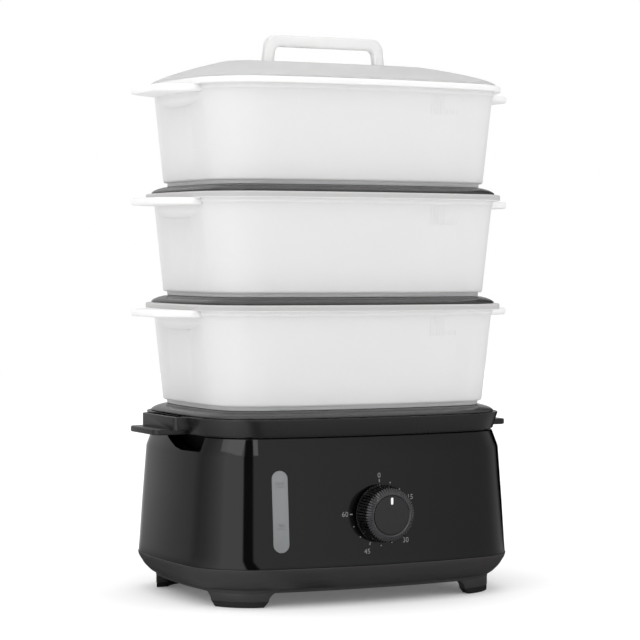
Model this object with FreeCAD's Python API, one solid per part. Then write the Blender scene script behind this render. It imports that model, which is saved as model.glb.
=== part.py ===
import FreeCAD, Part
import math
import os

from FreeCAD import Vector

# Three-tier electric food steamer. Millimetres, +Z up, -Y is the front (knob side).
# "Inset" is the distance inward from the base's plan at its widest line; every
# horizontal section of the object is that plan offset by an inset.

# ---- driving dimensions: plan of the base at the joint line ----
HALF_LENGTH = 128.5
HALF_DEPTH = 95.0
CORNER_RADIUS = 51.0
FRONT_RADIUS = 530.0      # slight bow of the front and back
END_RADIUS = 420.0        # slight bow of the two ends

# ---- driving dimensions: heights ----
PAD_TOP = 4.0
COVER_Z = 10.0            # underside of the floor plate
FLOOR_TOP_Z = 12.3
SKIRT_Z = 12.6            # lower edge of the skirt
JOINT_Z = 28.0            # skirt meets housing
CREASE_Z = 106.0          # housing turns in towards its mouth
MOUTH_Z = 118.0           # top of the housing
TRAY_LOW_Z = 119.2        # lower edge of the drip tray's band
TRAY_TOP_Z = 131.2
TIER_PITCH = 79.2
SEAT_RISE = 5.0           # top of a floor tray above the rim it lies on
TOTAL_HEIGHT = 405.0

# ---- walls, gaps and fits ----
WALL = 2.0
SHELL_WALL = 2.5
REST_GAP = 0.3            # between loose pieces that rest on each other
SHAFT_PLAY = 0.05

# ---- housing, skirt and feet ----
HOUSING_PROFILE = [(0.6, JOINT_Z), (1.2, 36), (3.2, 66), (6.2, CREASE_Z), (10.7, MOUTH_Z)]
SKIRT_PROFILE = [(11.8, SKIRT_Z), (9.3, 14.2), (4.8, 18.6), (0.8, 25.0), (0.0, JOINT_Z)]
COVER_INSET = 13.4
FOOT_INSET = 13.6
FOOT_X = 78.5             # end of a front or back foot's wall above its pad
FOOT_Y = 49.5
FOOT_FLARE = 16.5
FOOT_WIDTH = 8.0          # thickness of the curved wall that each foot is
PAD_SLANT = 3.6
MOUTH_INSET = 16.0

# ---- reservoir ----
TUB_INSET = 13.6
TUB_FLOOR_Z = 36.0
TUB_TOP_Z = MOUTH_Z - WALL
NOTCH_HALF = 34.0         # timer compartment
NOTCH_Y = -46.0
NOTCH_TOP_Z = 92.0
BOSS_X = 56.0
BOSS_Y = 44.0

# ---- sight window ----
WINDOW_X = -74.8
WINDOW_Z = 67.7
WINDOW_HALF_WIDTH = 5.75
WINDOW_HALF_HEIGHT = 28.4
MARK_HEIGHTS = (56.0, 85.0)

# ---- timer and knob ----
KNOB_Z = 64.2
KNOB_BACK = 94.4          # distance of the knob's back face in front of the centre
KNOB_DEPTH = 15.4
KNOB_RADIUS = 20.5
KNOB_NOSE_RADIUS = 18.75
CAP_RADIUS = 13.8
SHAFT_RADIUS = 3.0
FRAME_Y = -83.0           # rear face of the timer's mounting plate
SCREW_X = 22.5
SCALE_RADIUS = 22.7
SWEEP_DEG = 270.0         # 60 minutes of dial
MINUTES = 60

# ---- heater ----
HEATER_RADIUS = 30.0
HEATER_HOLE = 31.0

# ---- fill scoop in the left end ----
SCOOP_OUTLINE = [(-47.4, 108.0), (-20.0, 107.3), (-8.6, 109.0), (3.0, 112.4), (10.3, 114.9), (18.0, 119.0),
                 (18.0, 125.0), (-47.4, 125.0)]

# ---- cord gland at the back ----
GLAND_X = 60.0
GLAND_Z = 20.2
GLAND_FACE = 93.6
GLAND_BORE = 3.6
GLAND_LENGTH = 14.0

# ---- tabs at the ends of the tray and the baskets ----
TAB_REACH = 143.5
TAB_HALF_WIDTH = 24.0
TAB_ROOT_HALF_WIDTH = 42.0
TRAY_TAB_ROOT = 26.0
TAB_ROOT_TAPER = 8.0      # a tab narrows again by this much before it meets the wall
TAB_CORNER = 10.0
GUSSET_PLAN = [(90, -62), (108, -56), (124, -38)]   # the stiffener under a basket's tab fades out sideways

# ---- stack, insets ----
TRAY_RIM_INSET = 6.3
TRAY_FOOT_INSET = 10.1     # lower edge of the tray's outer band
WELL_INSET = 21.0
WELL_FLOOR_Z = 103.0
LEDGE_Z = 124.0           # shelf between the rim and the well
SPOUT_REACH = 131.0
SPOUT_HALF_WIDTH = 31.0
SPOUT_WALL = 1.8
BASKET_RIM_INSET = 5.5
DOME_INSET = 9.7
LIP_INSET = 21.3          # outside of a basket's lower lip

# ---- lid and handle ----
LID_INSET = 9.0
PLATEAU_HALF_LENGTH = 80.0
PLATEAU_HALF_DEPTH = 23.0
PLATEAU_Z = 384.3
LID_WALL = 2.2
LID_EDGE_RISE = 1.0       # top of the lid's thin edge above the rim it lies on
HANDLE_HALF_LENGTH = 49.2  # at its foot
HANDLE_LEAN = 2.2          # each leg leans in by this much over the handle's height
HANDLE_BAR = 8.4
HANDLE_LEG = 8.0
HANDLE_DEPTH = 7.0
HANDLE_CORNER = 9.5
HANDLE_INNER_CORNER = 4.5
PEG_RADIUS = 2.0

# The knob stands further out than the back of the skirt; this puts the origin under
# the middle of the whole object.
CENTRE_SHIFT = (KNOB_BACK + KNOB_DEPTH - HALF_DEPTH) / 2

BASE_PLAN = (HALF_LENGTH, HALF_DEPTH, CORNER_RADIUS, FRONT_RADIUS, END_RADIUS)
PLATEAU_PLAN = (PLATEAU_HALF_LENGTH, PLATEAU_HALF_DEPTH, 18.0, 900.0, 260.0)
UP = Vector(0, 0, 1)
FAR = 200.0


# ---- plan curves ----

def corner_centre(plan):
    """Centre of the corner arc that touches the front arc and the end arc."""
    half_length, half_depth, corner, front, end = plan
    front_centre = Vector(0, front - half_depth, 0)
    end_centre = Vector(half_length - end, 0, 0)
    to_front, to_end = front - corner, end - corner
    line = end_centre - front_centre
    apart = line.Length
    along = (to_front ** 2 - to_end ** 2 + apart ** 2) / (2 * apart)
    across = math.sqrt(to_front ** 2 - along ** 2)
    line.normalize()
    foot = front_centre + line * along
    side = Vector(-line.y, line.x, 0)
    ends = (foot + side * across, foot - side * across)
    return max(ends, key=lambda p: p.x - p.y), front_centre, end_centre


def arc_table(plan):
    """The eight arcs of the plan, each as centre, radius, start angle and end angle in degrees."""
    corner, front_centre, end_centre = corner_centre(plan)
    _, _, corner_radius, front_radius, end_radius = plan
    towards_front = corner - front_centre
    towards_end = corner - end_centre
    front_angle = math.degrees(math.atan2(towards_front.x, -towards_front.y))
    end_angle = math.degrees(math.atan2(-towards_end.y, towards_end.x))
    arcs = [
        (front_centre, front_radius, 270 - front_angle, 270 + front_angle),
        (corner, corner_radius, 270 + front_angle, 360 - end_angle),
        (end_centre, end_radius, -end_angle, end_angle),
        (Vector(corner.x, -corner.y, 0), corner_radius, end_angle, 90 - front_angle),
    ]
    opposite = [(Vector(-c.x, -c.y, 0), r, a + 180, b + 180) for c, r, a, b in arcs]
    return arcs + opposite


def polar(centre, radius, degrees, z):
    angle = math.radians(degrees)
    return Vector(centre.x + radius * math.cos(angle), centre.y + radius * math.sin(angle), z)


def outline(inset, z, plan=BASE_PLAN):
    """Closed wire of the plan, offset inward and lifted to a height."""
    edges = []
    for centre, radius, start, end in arc_table(plan):
        points = [polar(centre, radius - inset, a, z) for a in (start, (start + end) / 2, end)]
        edges.append(Part.Arc(*points).toShape())
    return Part.Wire(edges)


def slab(inset, low, high, plan=BASE_PLAN):
    """Solid plate with the plan's outline."""
    return Part.Face(outline(inset, low, plan)).extrude(Vector(0, 0, high - low))


def stack(profile):
    """Solid whose inset changes with height; profile is a list of (inset, z) going up."""
    layers = [
        Part.makeLoft([outline(d0, z0), outline(d1, z1)], True, True)
        for (d0, z0), (d1, z1) in zip(profile, profile[1:])
    ]
    return layers[0].multiFuse(layers[1:]) if len(layers) > 1 else layers[0]


def band(profile):
    """Solid ring: the closed profile of (inset, z) points carried once round the plan."""
    pieces = []
    for centre, radius, start, end in arc_table(BASE_PLAN):
        points = [polar(centre, radius - inset, start, z) for inset, z in profile]
        face = Part.Face(Part.makePolygon(points + points[:1]))
        pieces.append(face.revolve(centre, UP, end - start))
    return pieces[0].multiFuse(pieces[1:]).removeSplitter()


# ---- small builders ----

def box(low, high):
    size = Vector(*high) - Vector(*low)
    return Part.makeBox(size.x, size.y, size.z, Vector(*low))


def disc(radius, low, high, x=0.0, y=0.0):
    return Part.makeCylinder(radius, high - low, Vector(x, y, low))


def rod(radius, back, front, x=0.0, z=KNOB_Z):
    """Cylinder along Y, from y = back forward to y = front."""
    return Part.makeCylinder(radius, back - front, Vector(x, back, z), Vector(0, -1, 0))


def prism(points, axis, start, length):
    """Polygon in the plane across an axis, extruded along it."""
    place = {
        "x": lambda a, b: Vector(start, a, b),
        "y": lambda a, b: Vector(a, start, b),
        "z": lambda a, b: Vector(a, b, start),
    }[axis]
    way = {"x": Vector(length, 0, 0), "y": Vector(0, length, 0), "z": Vector(0, 0, length)}[axis]
    corners = [place(a, b) for a, b in points]
    return Part.Face(Part.makePolygon(corners + corners[:1])).extrude(way)


def stadium(x, z, half_width, half_height, front=-FAR, depth=FAR):
    """Upright slot shape, extruded along Y from the front."""
    straight = half_height - half_width
    middle = box((x - half_width, front, z - straight), (x + half_width, front + depth, z + straight))
    ends = [rod(half_width, front + depth, front, x, z + side * straight) for side in (-1, 1)]
    return middle.multiFuse(ends).removeSplitter()


def round_edges(solid, radius, keep):
    """Fillets the edges whose middle point passes the test."""
    chosen = [e for e in solid.Edges if keep(e.CenterOfMass, e)]
    return solid.makeFillet(radius, chosen)


def upright(edge):
    return abs(edge.tangentAt(edge.FirstParameter).z) > 0.99


def quarters(solid):
    """The solid and its copies mirrored into the other three quarters."""
    other = solid.mirror(Vector(), Vector(1, 0, 0))
    pair = [solid, other]
    return pair + [s.mirror(Vector(), Vector(0, 1, 0)) for s in pair]


def tube_path(points, radius):
    """Round lead: straight runs joined by tangent arcs as large as the runs allow."""
    edges = []
    last = points[0]
    for before, here, after in zip(points, points[1:], points[2:]):
        back, ahead = (before - here), (after - here)
        run = 0.45 * min(back.Length, ahead.Length)
        back.normalize()
        ahead.normalize()
        turn = math.pi - back.getAngle(ahead)
        bend = run / math.tan(turn / 2)
        middle = (back + ahead).normalize() * (bend / math.cos(turn / 2) - bend)
        start, end = here + back * run, here + ahead * run
        edges.append(Part.LineSegment(last, start).toShape())
        edges.append(Part.Arc(start, here + middle, end).toShape())
        last = end
    edges.append(Part.LineSegment(last, points[-1]).toShape())
    path = Part.Wire(edges)
    section = Part.Wire(Part.makeCircle(radius, points[0], points[1] - points[0]))
    return path.makePipeShell([section], True, False)


# ---- housing ----

def housing_block(offset, low=None, high=None):
    """Filled housing, offset inward; it may be stretched straight up or down past its ends."""
    profile = [(inset + offset, z) for inset, z in HOUSING_PROFILE]
    if low is not None:
        profile = [(profile[0][0], low)] + profile
    if high is not None:
        profile = profile + [(profile[-1][0], high)]
    return stack(profile)


def skin(outer, inner):
    """Layer that follows the housing, between two offsets."""
    return housing_block(outer).cut(housing_block(inner, JOINT_Z - 10, MOUTH_Z + 10))


def scoop_prism(start, length, grow=0.0):
    centre_y, centre_z = -15.0, 116.0
    reach = 32.0
    points = [
        (y + grow * (y - centre_y) / reach, z + grow * (z - centre_z) / 9.0)
        for y, z in SCOOP_OUTLINE
    ]
    return prism(points, "x", start, length)


def base_shell():
    inside = stack([(d + SHELL_WALL, z) for d, z in HOUSING_PROFILE[:-1]]
                   + [(HOUSING_PROFILE[-1][0] + SHELL_WALL, MOUTH_Z - WALL)])
    cavity = inside.fuse(slab(HOUSING_PROFILE[0][0] + SHELL_WALL, JOINT_Z - 5, JOINT_Z + 1))
    shell = housing_block(0).cut(cavity)
    shell = shell.cut(slab(MOUTH_INSET, MOUTH_Z - 5, MOUTH_Z + 5))
    shell = shell.cut(scoop_prism(-FAR, FAR - 100))
    chute = scoop_prism(-FAR, FAR - 100, 2.0).cut(scoop_prism(-FAR - 1, FAR - 98))
    chute = chute.common(housing_block(SHELL_WALL - 0.5)).cut(slab(TUB_INSET - 0.2, 60, 130))
    shell = shell.fuse(chute)
    shell = shell.cut(stadium(WINDOW_X, WINDOW_Z, WINDOW_HALF_WIDTH + 0.15, WINDOW_HALF_HEIGHT + 0.15))
    shell = shell.cut(rod(5.0, -60, -110))
    bosses = [rod(3.5, FRAME_Y - 1.5, -95, side * SCREW_X).common(housing_block(1.0)) for side in (-1, 1)]
    bores = [rod(1.25, -80, FRAME_Y - 6.5, side * SCREW_X) for side in (-1, 1)]
    return shell.multiFuse(bosses).cut(bores[0].fuse(bores[1])).removeSplitter()


def dial_prisms():
    """Tick and dot shapes of the minute scale, extruded along Y."""
    shapes = []
    for minute in range(0, MINUTES + 1, 5):
        turn = math.radians(SWEEP_DEG * minute / MINUTES)
        x, z = math.sin(turn) * SCALE_RADIUS, math.cos(turn) * SCALE_RADIUS + KNOB_Z
        if minute % 15:
            shapes.append(rod(0.45, -60, -110, x, z))
            continue
        tick = box((-0.35, -110, SCALE_RADIUS - 1.0), (0.35, -60, SCALE_RADIUS + 1.0))
        tick.rotate(Vector(), Vector(0, 1, 0), math.degrees(turn))
        tick.translate(Vector(0, 0, KNOB_Z))
        shapes.append(tick)
    return shapes


def dial_scale():
    layer = skin(-0.15, 0.0)
    return Part.makeCompound([layer.common(s) for s in dial_prisms()])


# ---- window ----

def level_window():
    pane = skin(0.1, 3.4).common(stadium(WINDOW_X, WINDOW_Z, WINDOW_HALF_WIDTH, WINDOW_HALF_HEIGHT))
    flange = skin(SHELL_WALL, 4.0).common(
        stadium(WINDOW_X, WINDOW_Z, WINDOW_HALF_WIDTH + 2.5, WINDOW_HALF_HEIGHT + 2.5))
    return pane.fuse(flange).removeSplitter()


def window_gasket():
    ring = stadium(WINDOW_X, WINDOW_Z, WINDOW_HALF_WIDTH + 2.5, WINDOW_HALF_HEIGHT + 2.5)
    hole = stadium(WINDOW_X, WINDOW_Z, WINDOW_HALF_WIDTH - 0.5, WINDOW_HALF_HEIGHT - 0.5)
    return skin(4.0, 5.4).common(ring.cut(hole))


def level_marks():
    layer = skin(-0.1, 0.1)
    marks = []
    for z in MARK_HEIGHTS:
        bar = box((WINDOW_X - 2.4, -FAR, z - 0.35), (WINDOW_X + 2.4, 0, z + 0.35))
        marks.append(layer.common(bar))
    return Part.makeCompound(marks)


# ---- reservoir ----

def tub_boss(x, y):
    return disc(4.0, FLOOR_TOP_Z, TUB_FLOOR_Z - 1, x, y).cut(disc(1.25, COVER_Z, COVER_Z + 14, x, y))


def sight_chamber():
    """Short duct from the tub to the window's gasket, and the bore through it."""
    back = slab(TUB_INSET + 0.5, 20, 125)
    body = stadium(WINDOW_X, WINDOW_Z, WINDOW_HALF_WIDTH + 2.5, WINDOW_HALF_HEIGHT + 2.5)
    body = body.common(housing_block(5.4)).cut(back)
    bore = stadium(WINDOW_X, WINDOW_Z, WINDOW_HALF_WIDTH - 1.2, WINDOW_HALF_HEIGHT - 1.2, -FAR, FAR - 70)
    return body, bore


def reservoir():
    notch = box((-NOTCH_HALF, -FAR, 0), (NOTCH_HALF, NOTCH_Y - WALL, NOTCH_TOP_Z))
    inner_notch = box((-NOTCH_HALF - WALL, -FAR, 0), (NOTCH_HALF + WALL, NOTCH_Y, NOTCH_TOP_Z + WALL))
    outer = slab(TUB_INSET, TUB_FLOOR_Z - WALL, TUB_TOP_Z).cut(notch)
    inner = slab(TUB_INSET + WALL, TUB_FLOOR_Z, TUB_TOP_Z + 10).cut(inner_notch)
    tub = outer.cut(inner)
    duct, bore = sight_chamber()
    tub = tub.fuse(duct).cut(bore)
    tub = tub.multiFuse([tub_boss(sx * BOSS_X, sy * BOSS_Y) for sx in (-1, 1) for sy in (-1, 1)])
    tub = tub.cut(disc(HEATER_HOLE, TUB_FLOOR_Z - 5, TUB_FLOOR_Z + 5))
    tub = tub.cut(scoop_prism(-FAR, FAR - 90))
    return tub.removeSplitter()


# ---- heater ----

def heater_plate():
    return disc(HEATER_RADIUS, 34.0, 39.0).fuse(disc(HEATER_RADIUS - 6, 32.0, 34.0)).removeSplitter()


def heater_seal():
    """Silicone ring in the tub's hole, with a lip below the tub's floor."""
    sleeve = disc(HEATER_HOLE, 33.9, 37.0).cut(disc(HEATER_RADIUS, 30, 40))
    lip = disc(36.0, 31.8, 33.9).cut(disc(HEATER_RADIUS - 3.0, 30, 40))
    return sleeve.fuse(lip).removeSplitter()


def heater_clamp():
    ring = disc(44.0, 29.8, 31.8).cut(disc(26.0, 29, 33))
    ears = [disc(1.6, 29, 33, *spot) for spot in clamp_spots()]
    return ring.cut(ears[0].multiFuse(ears[1:]))


def clamp_spots():
    return [(40 * math.cos(a), 40 * math.sin(a)) for a in (math.radians(d) for d in (30, 150, 270))]


def clamp_screws():
    screws = []
    for x, y in clamp_spots():
        screws.append(disc(3.0, 27.6, 29.8, x, y).fuse(disc(1.5, 29.8, 33.6, x, y)).removeSplitter())
    return Part.makeCompound(screws)


def heater_tube():
    """Open ring of sheathed element under the plate, with two contact pins."""
    ring = Part.makeTorus(17.0, 3.0, Vector(0, 0, 29.0), UP)
    gap = prism([(0, 0), (-40, -14), (-40, 14)], "z", 20, 20)
    pins = [disc(1.5, 20.0, 27.5, -15.4, side * 8.5) for side in (-1, 1)]
    return ring.cut(gap).multiFuse(pins).removeSplitter()


def thermostat():
    return disc(9.0, 25.0, 32.0).fuse(box((-3, -12, 22), (3, 12, 25))).removeSplitter()


def thermal_fuse():
    body = Part.makeCylinder(2.2, 14, Vector(22.6, -7, 27.4), Vector(0, 1, 0))
    return body.fuse(box((21.6, -9, 26.9), (23.6, 9, 27.9))).removeSplitter()


def steam_ring():
    """Loose sleeve round the heater, with water gates at its foot."""
    outer = Part.makeCone(43.0, 36.0, 34.0, Vector(0, 0, TUB_FLOOR_Z + 0.2))
    inner = Part.makeCone(41.2, 34.2, 34.2, Vector(0, 0, TUB_FLOOR_Z + 0.1))
    gates = []
    for turn in (45, 135):
        gate = box((-60, -9, TUB_FLOOR_Z), (60, 9, TUB_FLOOR_Z + 6))
        gate.rotate(Vector(), UP, turn)
        gates.append(gate)
    return outer.cut(inner).cut(gates[0].fuse(gates[1]))


# ---- bottom cover ----

def foot_side(reach):
    """Side outline of a foot: upright above its pad, then sweeping out under the skirt."""
    low, high = PAD_TOP, SKIRT_Z + 0.4
    curve = [
        (reach - FOOT_FLARE * (1 - math.cos(a)), low + (high - low) * math.sin(a))
        for a in (math.radians(d) for d in (0, 22, 45, 68, 90))
    ]
    return [(reach, 0)] + curve + [(FAR, high), (FAR, 0)]


def pad_side(reach):
    """Side outline of a pad: its end slants in towards the floor."""
    return [(reach + PAD_SLANT, 0), (reach, PAD_TOP), (FAR, PAD_TOP), (FAR, 0)]


def corner_walls(inset, low, high, side):
    """Curved walls at the four corners, trimmed to a side outline along X and along Y."""
    wall = slab(inset, low, high).cut(slab(inset + FOOT_WIDTH, low - 1, high + 1))
    along_y = prism(side(FOOT_X), "y", -FAR, FAR)
    along_x = prism([(-y, z) for y, z in side(FOOT_Y)], "x", 0, FAR)
    return quarters(wall.common(along_y).common(along_x).Solids[0])


def gland_box(grow=0.0):
    low = (GLAND_X - 9 - grow, 70, SKIRT_Z - 0.6)
    return box(low, (GLAND_X + 9 + grow, GLAND_FACE, JOINT_Z - 0.2))


def bottom_cover():
    outside = stack(SKIRT_PROFILE)
    inside = stack([(d + WALL, z) for d, z in SKIRT_PROFILE])
    skirt = outside.cut(inside)
    floor = slab(COVER_INSET, COVER_Z, FLOOR_TOP_Z)
    ledge = slab(SKIRT_PROFILE[0][0], SKIRT_Z, SKIRT_Z + 1.6).cut(slab(COVER_INSET + WALL, 0, 50))
    rim = slab(COVER_INSET, COVER_Z, SKIRT_Z + 1.0).cut(slab(COVER_INSET + WALL, 0, 50))
    cover = skirt.multiFuse([floor, ledge, rim])
    cover = cover.multiFuse(corner_walls(FOOT_INSET, PAD_TOP, COVER_Z + 1, foot_side))
    outlet = gland_box().cut(slab(21.0, 0, 50))
    cover = cover.fuse(outlet).cut(gland_bore(6.55))
    for sx in (-1, 1):
        for sy in (-1, 1):
            cover = cover.cut(disc(1.8, 0, 20, sx * BOSS_X, sy * BOSS_Y))
            cover = cover.cut(disc(3.6, 0, COVER_Z, sx * BOSS_X, sy * BOSS_Y))
    return cover.removeSplitter()


def foot_pads():
    return Part.makeCompound(corner_walls(FOOT_INSET + 0.3, 0, PAD_TOP, pad_side))


def cover_screws():
    screws = []
    for sx in (-1, 1):
        for sy in (-1, 1):
            x, y = sx * BOSS_X, sy * BOSS_Y
            head = disc(3.2, COVER_Z - 2.0, COVER_Z, x, y).cut(disc(1.2, COVER_Z - 3, COVER_Z - 1, x, y))
            screws.append(head.fuse(disc(1.2, COVER_Z, COVER_Z + 13, x, y)).removeSplitter())
    return Part.makeCompound(screws)


# ---- cord gland ----

def gland_bore(radius):
    return rod(radius, GLAND_FACE + 10, GLAND_FACE - 30, GLAND_X, GLAND_Z)


def cord_gland():
    body = rod(6.5, GLAND_FACE + 1.2, GLAND_FACE + 1.2 - GLAND_LENGTH, GLAND_X, GLAND_Z)
    flange = rod(7.6, GLAND_FACE + 1.2, GLAND_FACE, GLAND_X, GLAND_Z)
    return body.fuse(flange).cut(gland_bore(GLAND_BORE)).removeSplitter()


# ---- wiring ----

def terminal_block():
    block = box((64, 50, FLOOR_TOP_Z), (88, 62, FLOOR_TOP_Z + 8.7))
    ways = [rod(1.6, 64, 48, 70 + 6 * k, COVER_Z + 7) for k in range(3)]
    return block.cut(ways[0].multiFuse(ways[1:]))


def lead(points):
    return tube_path([Vector(*p) for p in points], 1.0)


def lead_line():
    return lead([(70, 49.8, 17), (70, 36, 17), (50, 18, 17), (34, 14, 18), (25, 13, 23), (22.6, 10.3, 27.4)])


def lead_timer():
    return lead([(76, 49.8, 17), (76, 30, 17), (68, -10, 17), (46, -34, 18), (34, -56, 26), (20, -70, 34),
                 (9.4, -75.6, 39.8)])


def lead_neutral():
    return lead([(82, 49.8, 17), (82, 42, 20.5), (48, 33, 20.5), (10, 30, 18), (-14, 24, 18),
                 (-17.5, 14, 17.2), (-15.4, 8.5, 18.6)])


# ---- timer ----

def timer_frame():
    plate = box((-26, FRAME_Y - 1.5, KNOB_Z - 20), (26, FRAME_Y, KNOB_Z + 20)).cut(rod(3.6, -60, -110))
    holes = [rod(1.8, -80, -90, side * SCREW_X) for side in (-1, 1)]
    return plate.cut(holes[0].fuse(holes[1]))


def timer_case():
    case = box((-18.5, FRAME_Y, KNOB_Z - 18), (18.5, -62.0, KNOB_Z + 18))
    case = round_edges(case, 4.0, lambda mid, edge: abs(edge.tangentAt(edge.FirstParameter).y) > 0.99)
    case = case.cut(rod(SHAFT_RADIUS + SHAFT_PLAY, -70.0, -110))
    tabs = [box((x, -76, KNOB_Z - 23), (x + 4.8, -75.2, KNOB_Z - 18)) for x in (-12, 7)]
    return case.multiFuse(tabs).removeSplitter()


def timer_bell():
    dome = rod(13.0, -53.0, -61.0, 0, KNOB_Z).cut(rod(12.0, -54.0, -61.0, 0, KNOB_Z))
    post = rod(1.6, -53.5, -62.0, 0, KNOB_Z)
    return dome.fuse(post).removeSplitter()


def timer_screws():
    screws = []
    for side in (-1, 1):
        head = rod(3.0, FRAME_Y + 2.0, FRAME_Y, side * SCREW_X)
        screws.append(head.fuse(rod(1.2, FRAME_Y, FRAME_Y - 5.5, side * SCREW_X)).removeSplitter())
    return Part.makeCompound(screws)


def timer_shaft():
    return rod(SHAFT_RADIUS, -71.0, -KNOB_BACK - KNOB_DEPTH + 5.0)


def timer_knob():
    """Tapered grip with a bevelled nose, hollow behind, and a hub on the shaft."""
    back, nose = -KNOB_BACK, -KNOB_BACK - KNOB_DEPTH
    half = [
        (SHAFT_RADIUS, back), (6.0, back), (6.0, nose + 5.0), (KNOB_RADIUS - 3.2, nose + 5.0),
        (KNOB_RADIUS - 2.0, back), (KNOB_RADIUS, back), (KNOB_RADIUS, back - 1.2),
        (KNOB_NOSE_RADIUS + 0.4, nose + 3.4), (KNOB_NOSE_RADIUS, nose + 2.7), (CAP_RADIUS + 1.2, nose),
        (CAP_RADIUS, nose), (CAP_RADIUS, nose + 1.6), (SHAFT_RADIUS, nose + 1.6),
    ]
    points = [Vector(r, y, KNOB_Z) for r, y in half]
    face = Part.Face(Part.makePolygon(points + points[:1]))
    knob = face.revolve(Vector(0, 0, KNOB_Z), Vector(0, 1, 0), 360)
    return knob.fuse(rod(SHAFT_RADIUS, nose + 5.0, nose + 1.6)).removeSplitter()


def knob_cap():
    nose = -KNOB_BACK - KNOB_DEPTH
    return rod(CAP_RADIUS, nose + 1.6, nose + 0.5)


def knob_pointer():
    nose = -KNOB_BACK - KNOB_DEPTH
    return stadium(0, KNOB_Z + 10.0, 0.95, 2.6, nose + 0.25, 0.25)


# ---- drip tray ----

def tab_blank(low, high, root_inset, root_half_width=TAB_ROOT_HALF_WIDTH):
    """End tab at +X: straight edge with round corners, and sides that widen to its root."""
    root, shoulder = HALF_LENGTH - 30, HALF_LENGTH - 8
    narrow = root_half_width - TAB_ROOT_TAPER
    points = [
        (root, -narrow), (shoulder, -root_half_width), (TAB_REACH, -TAB_HALF_WIDTH),
        (TAB_REACH, TAB_HALF_WIDTH), (shoulder, root_half_width), (root, narrow),
    ]
    tab = prism(points, "z", low, high - low)
    tab = round_edges(tab, TAB_CORNER, lambda mid, edge: upright(edge) and mid.x > TAB_REACH - 1)
    return tab.cut(slab(root_inset, low - 1, high + 1))


def both_ends(solid):
    return [solid, solid.mirror(Vector(), Vector(1, 0, 0))]


def spout():
    """Pouring lip at the left end of the tray: its block, its pocket and the way through the rim."""
    reach, half, wall, low = SPOUT_REACH, SPOUT_HALF_WIDTH, SPOUT_WALL, TRAY_LOW_Z + 2.4
    block = box((-reach, -half, low), (-HALF_LENGTH + 12, half, TRAY_TOP_Z))
    block = round_edges(block, 4.0, lambda mid, edge: upright(edge) and mid.x < -reach + 1)
    pocket = box((-reach + wall, -half + wall, low + wall), (-HALF_LENGTH + 15, half - wall, FAR))
    pocket = round_edges(pocket, 2.4, lambda mid, edge: upright(edge) and mid.x < -reach + wall + 1)
    pocket = pocket.cut(stack([(TRAY_FOOT_INSET, TRAY_LOW_Z), (TRAY_RIM_INSET, TRAY_TOP_Z),
                               (TRAY_RIM_INSET, FAR)]))
    way = box((-reach + 1, -20, LEDGE_Z), (-HALF_LENGTH + 18, 20, TRAY_TOP_Z - 2.2))
    return block.cut(slab(TRAY_FOOT_INSET, 0, FAR)), pocket, way


def drip_tray():
    under = LEDGE_Z - WALL
    rim = band([
        (TRAY_RIM_INSET, TRAY_TOP_Z), (TRAY_FOOT_INSET, TRAY_LOW_Z), (TRAY_FOOT_INSET + 1.9, TRAY_LOW_Z),
        (8.9, TRAY_TOP_Z - 2), (11.4, TRAY_TOP_Z - 2), (11.4, under), (13.6, under),
        (13.6, MOUTH_Z + REST_GAP), (15.4, MOUTH_Z + REST_GAP), (15.4, under), (WELL_INSET, under),
        (WELL_INSET, WELL_FLOOR_Z), (WELL_INSET + WALL, WELL_FLOOR_Z), (WELL_INSET + WALL, LEDGE_Z),
        (13.4, LEDGE_Z), (13.4, TRAY_TOP_Z),
    ])
    floor = slab(WELL_INSET + 1, WELL_FLOOR_Z, WELL_FLOOR_Z + WALL)
    collar = steam_mouth(2.0, WELL_FLOOR_Z, WELL_FLOOR_Z + 12)
    tabs = both_ends(tab_blank(MOUTH_Z + 0.4, MOUTH_Z + 4.6, 10.8, TRAY_TAB_ROOT))
    block, pocket, way = spout()
    tray = rim.multiFuse([floor, collar, block] + tabs)
    tray = tray.cut(steam_mouth(0, WELL_FLOOR_Z - 1, WELL_FLOOR_Z + 14))
    return tray.cut(pocket).cut(way).removeSplitter()


def steam_mouth(grow, low, high):
    """Oval opening in the middle of the tray, through which the steam rises."""
    half_length, half_depth = 40.0 + grow, 17.0 + grow
    straight = half_length - half_depth
    middle = box((-straight, -half_depth, low), (straight, half_depth, high))
    ends = [disc(half_depth, low, high, side * straight) for side in (-1, 1)]
    return middle.multiFuse(ends).removeSplitter()


# ---- baskets and their floors ----

def rim_height(tier):
    """Height of the rim that tier number 1, 2 or 3 carries; tier 0 is the drip tray."""
    return TRAY_TOP_Z + tier * TIER_PITCH


def lifted(profile, z):
    return [(inset, z + rise) for inset, rise in profile]


def floor_tray(tier):
    seat = rim_height(tier - 1)
    edge = band(lifted([
        (DOME_INSET, REST_GAP), (DOME_INSET, 1.1), (10.7, 2.0), (12.8, 3.1), (15.6, 4.2), (19.2, SEAT_RISE),
        (23.9, SEAT_RISE), (23.9, 8.6), (25.5, 8.6), (25.5, 2.4), (16.6, 2.4), (16.4, -5.5), (14.8, -5.5),
        (14.6, 1.9), (12.2, REST_GAP),
    ], seat))
    plate = slab(25.0, seat + 2.4, seat + 4.4)
    slots = slot_rows(seat)
    return edge.fuse(plate).cut(slots).removeSplitter()


def slot_rows(seat):
    """Steam slots through a floor: five rows, longest in the middle."""
    slots = []
    for row in range(-2, 3):
        reach = 3 if abs(row) == 2 else 4
        for column in range(-reach, reach + 1):
            x, y = 20.0 * column, 24.0 * row
            slots.append(box((x - 1.75, y - 8.5, seat), (x + 1.75, y + 8.5, seat + 6)))
    return Part.makeCompound(slots)


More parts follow.
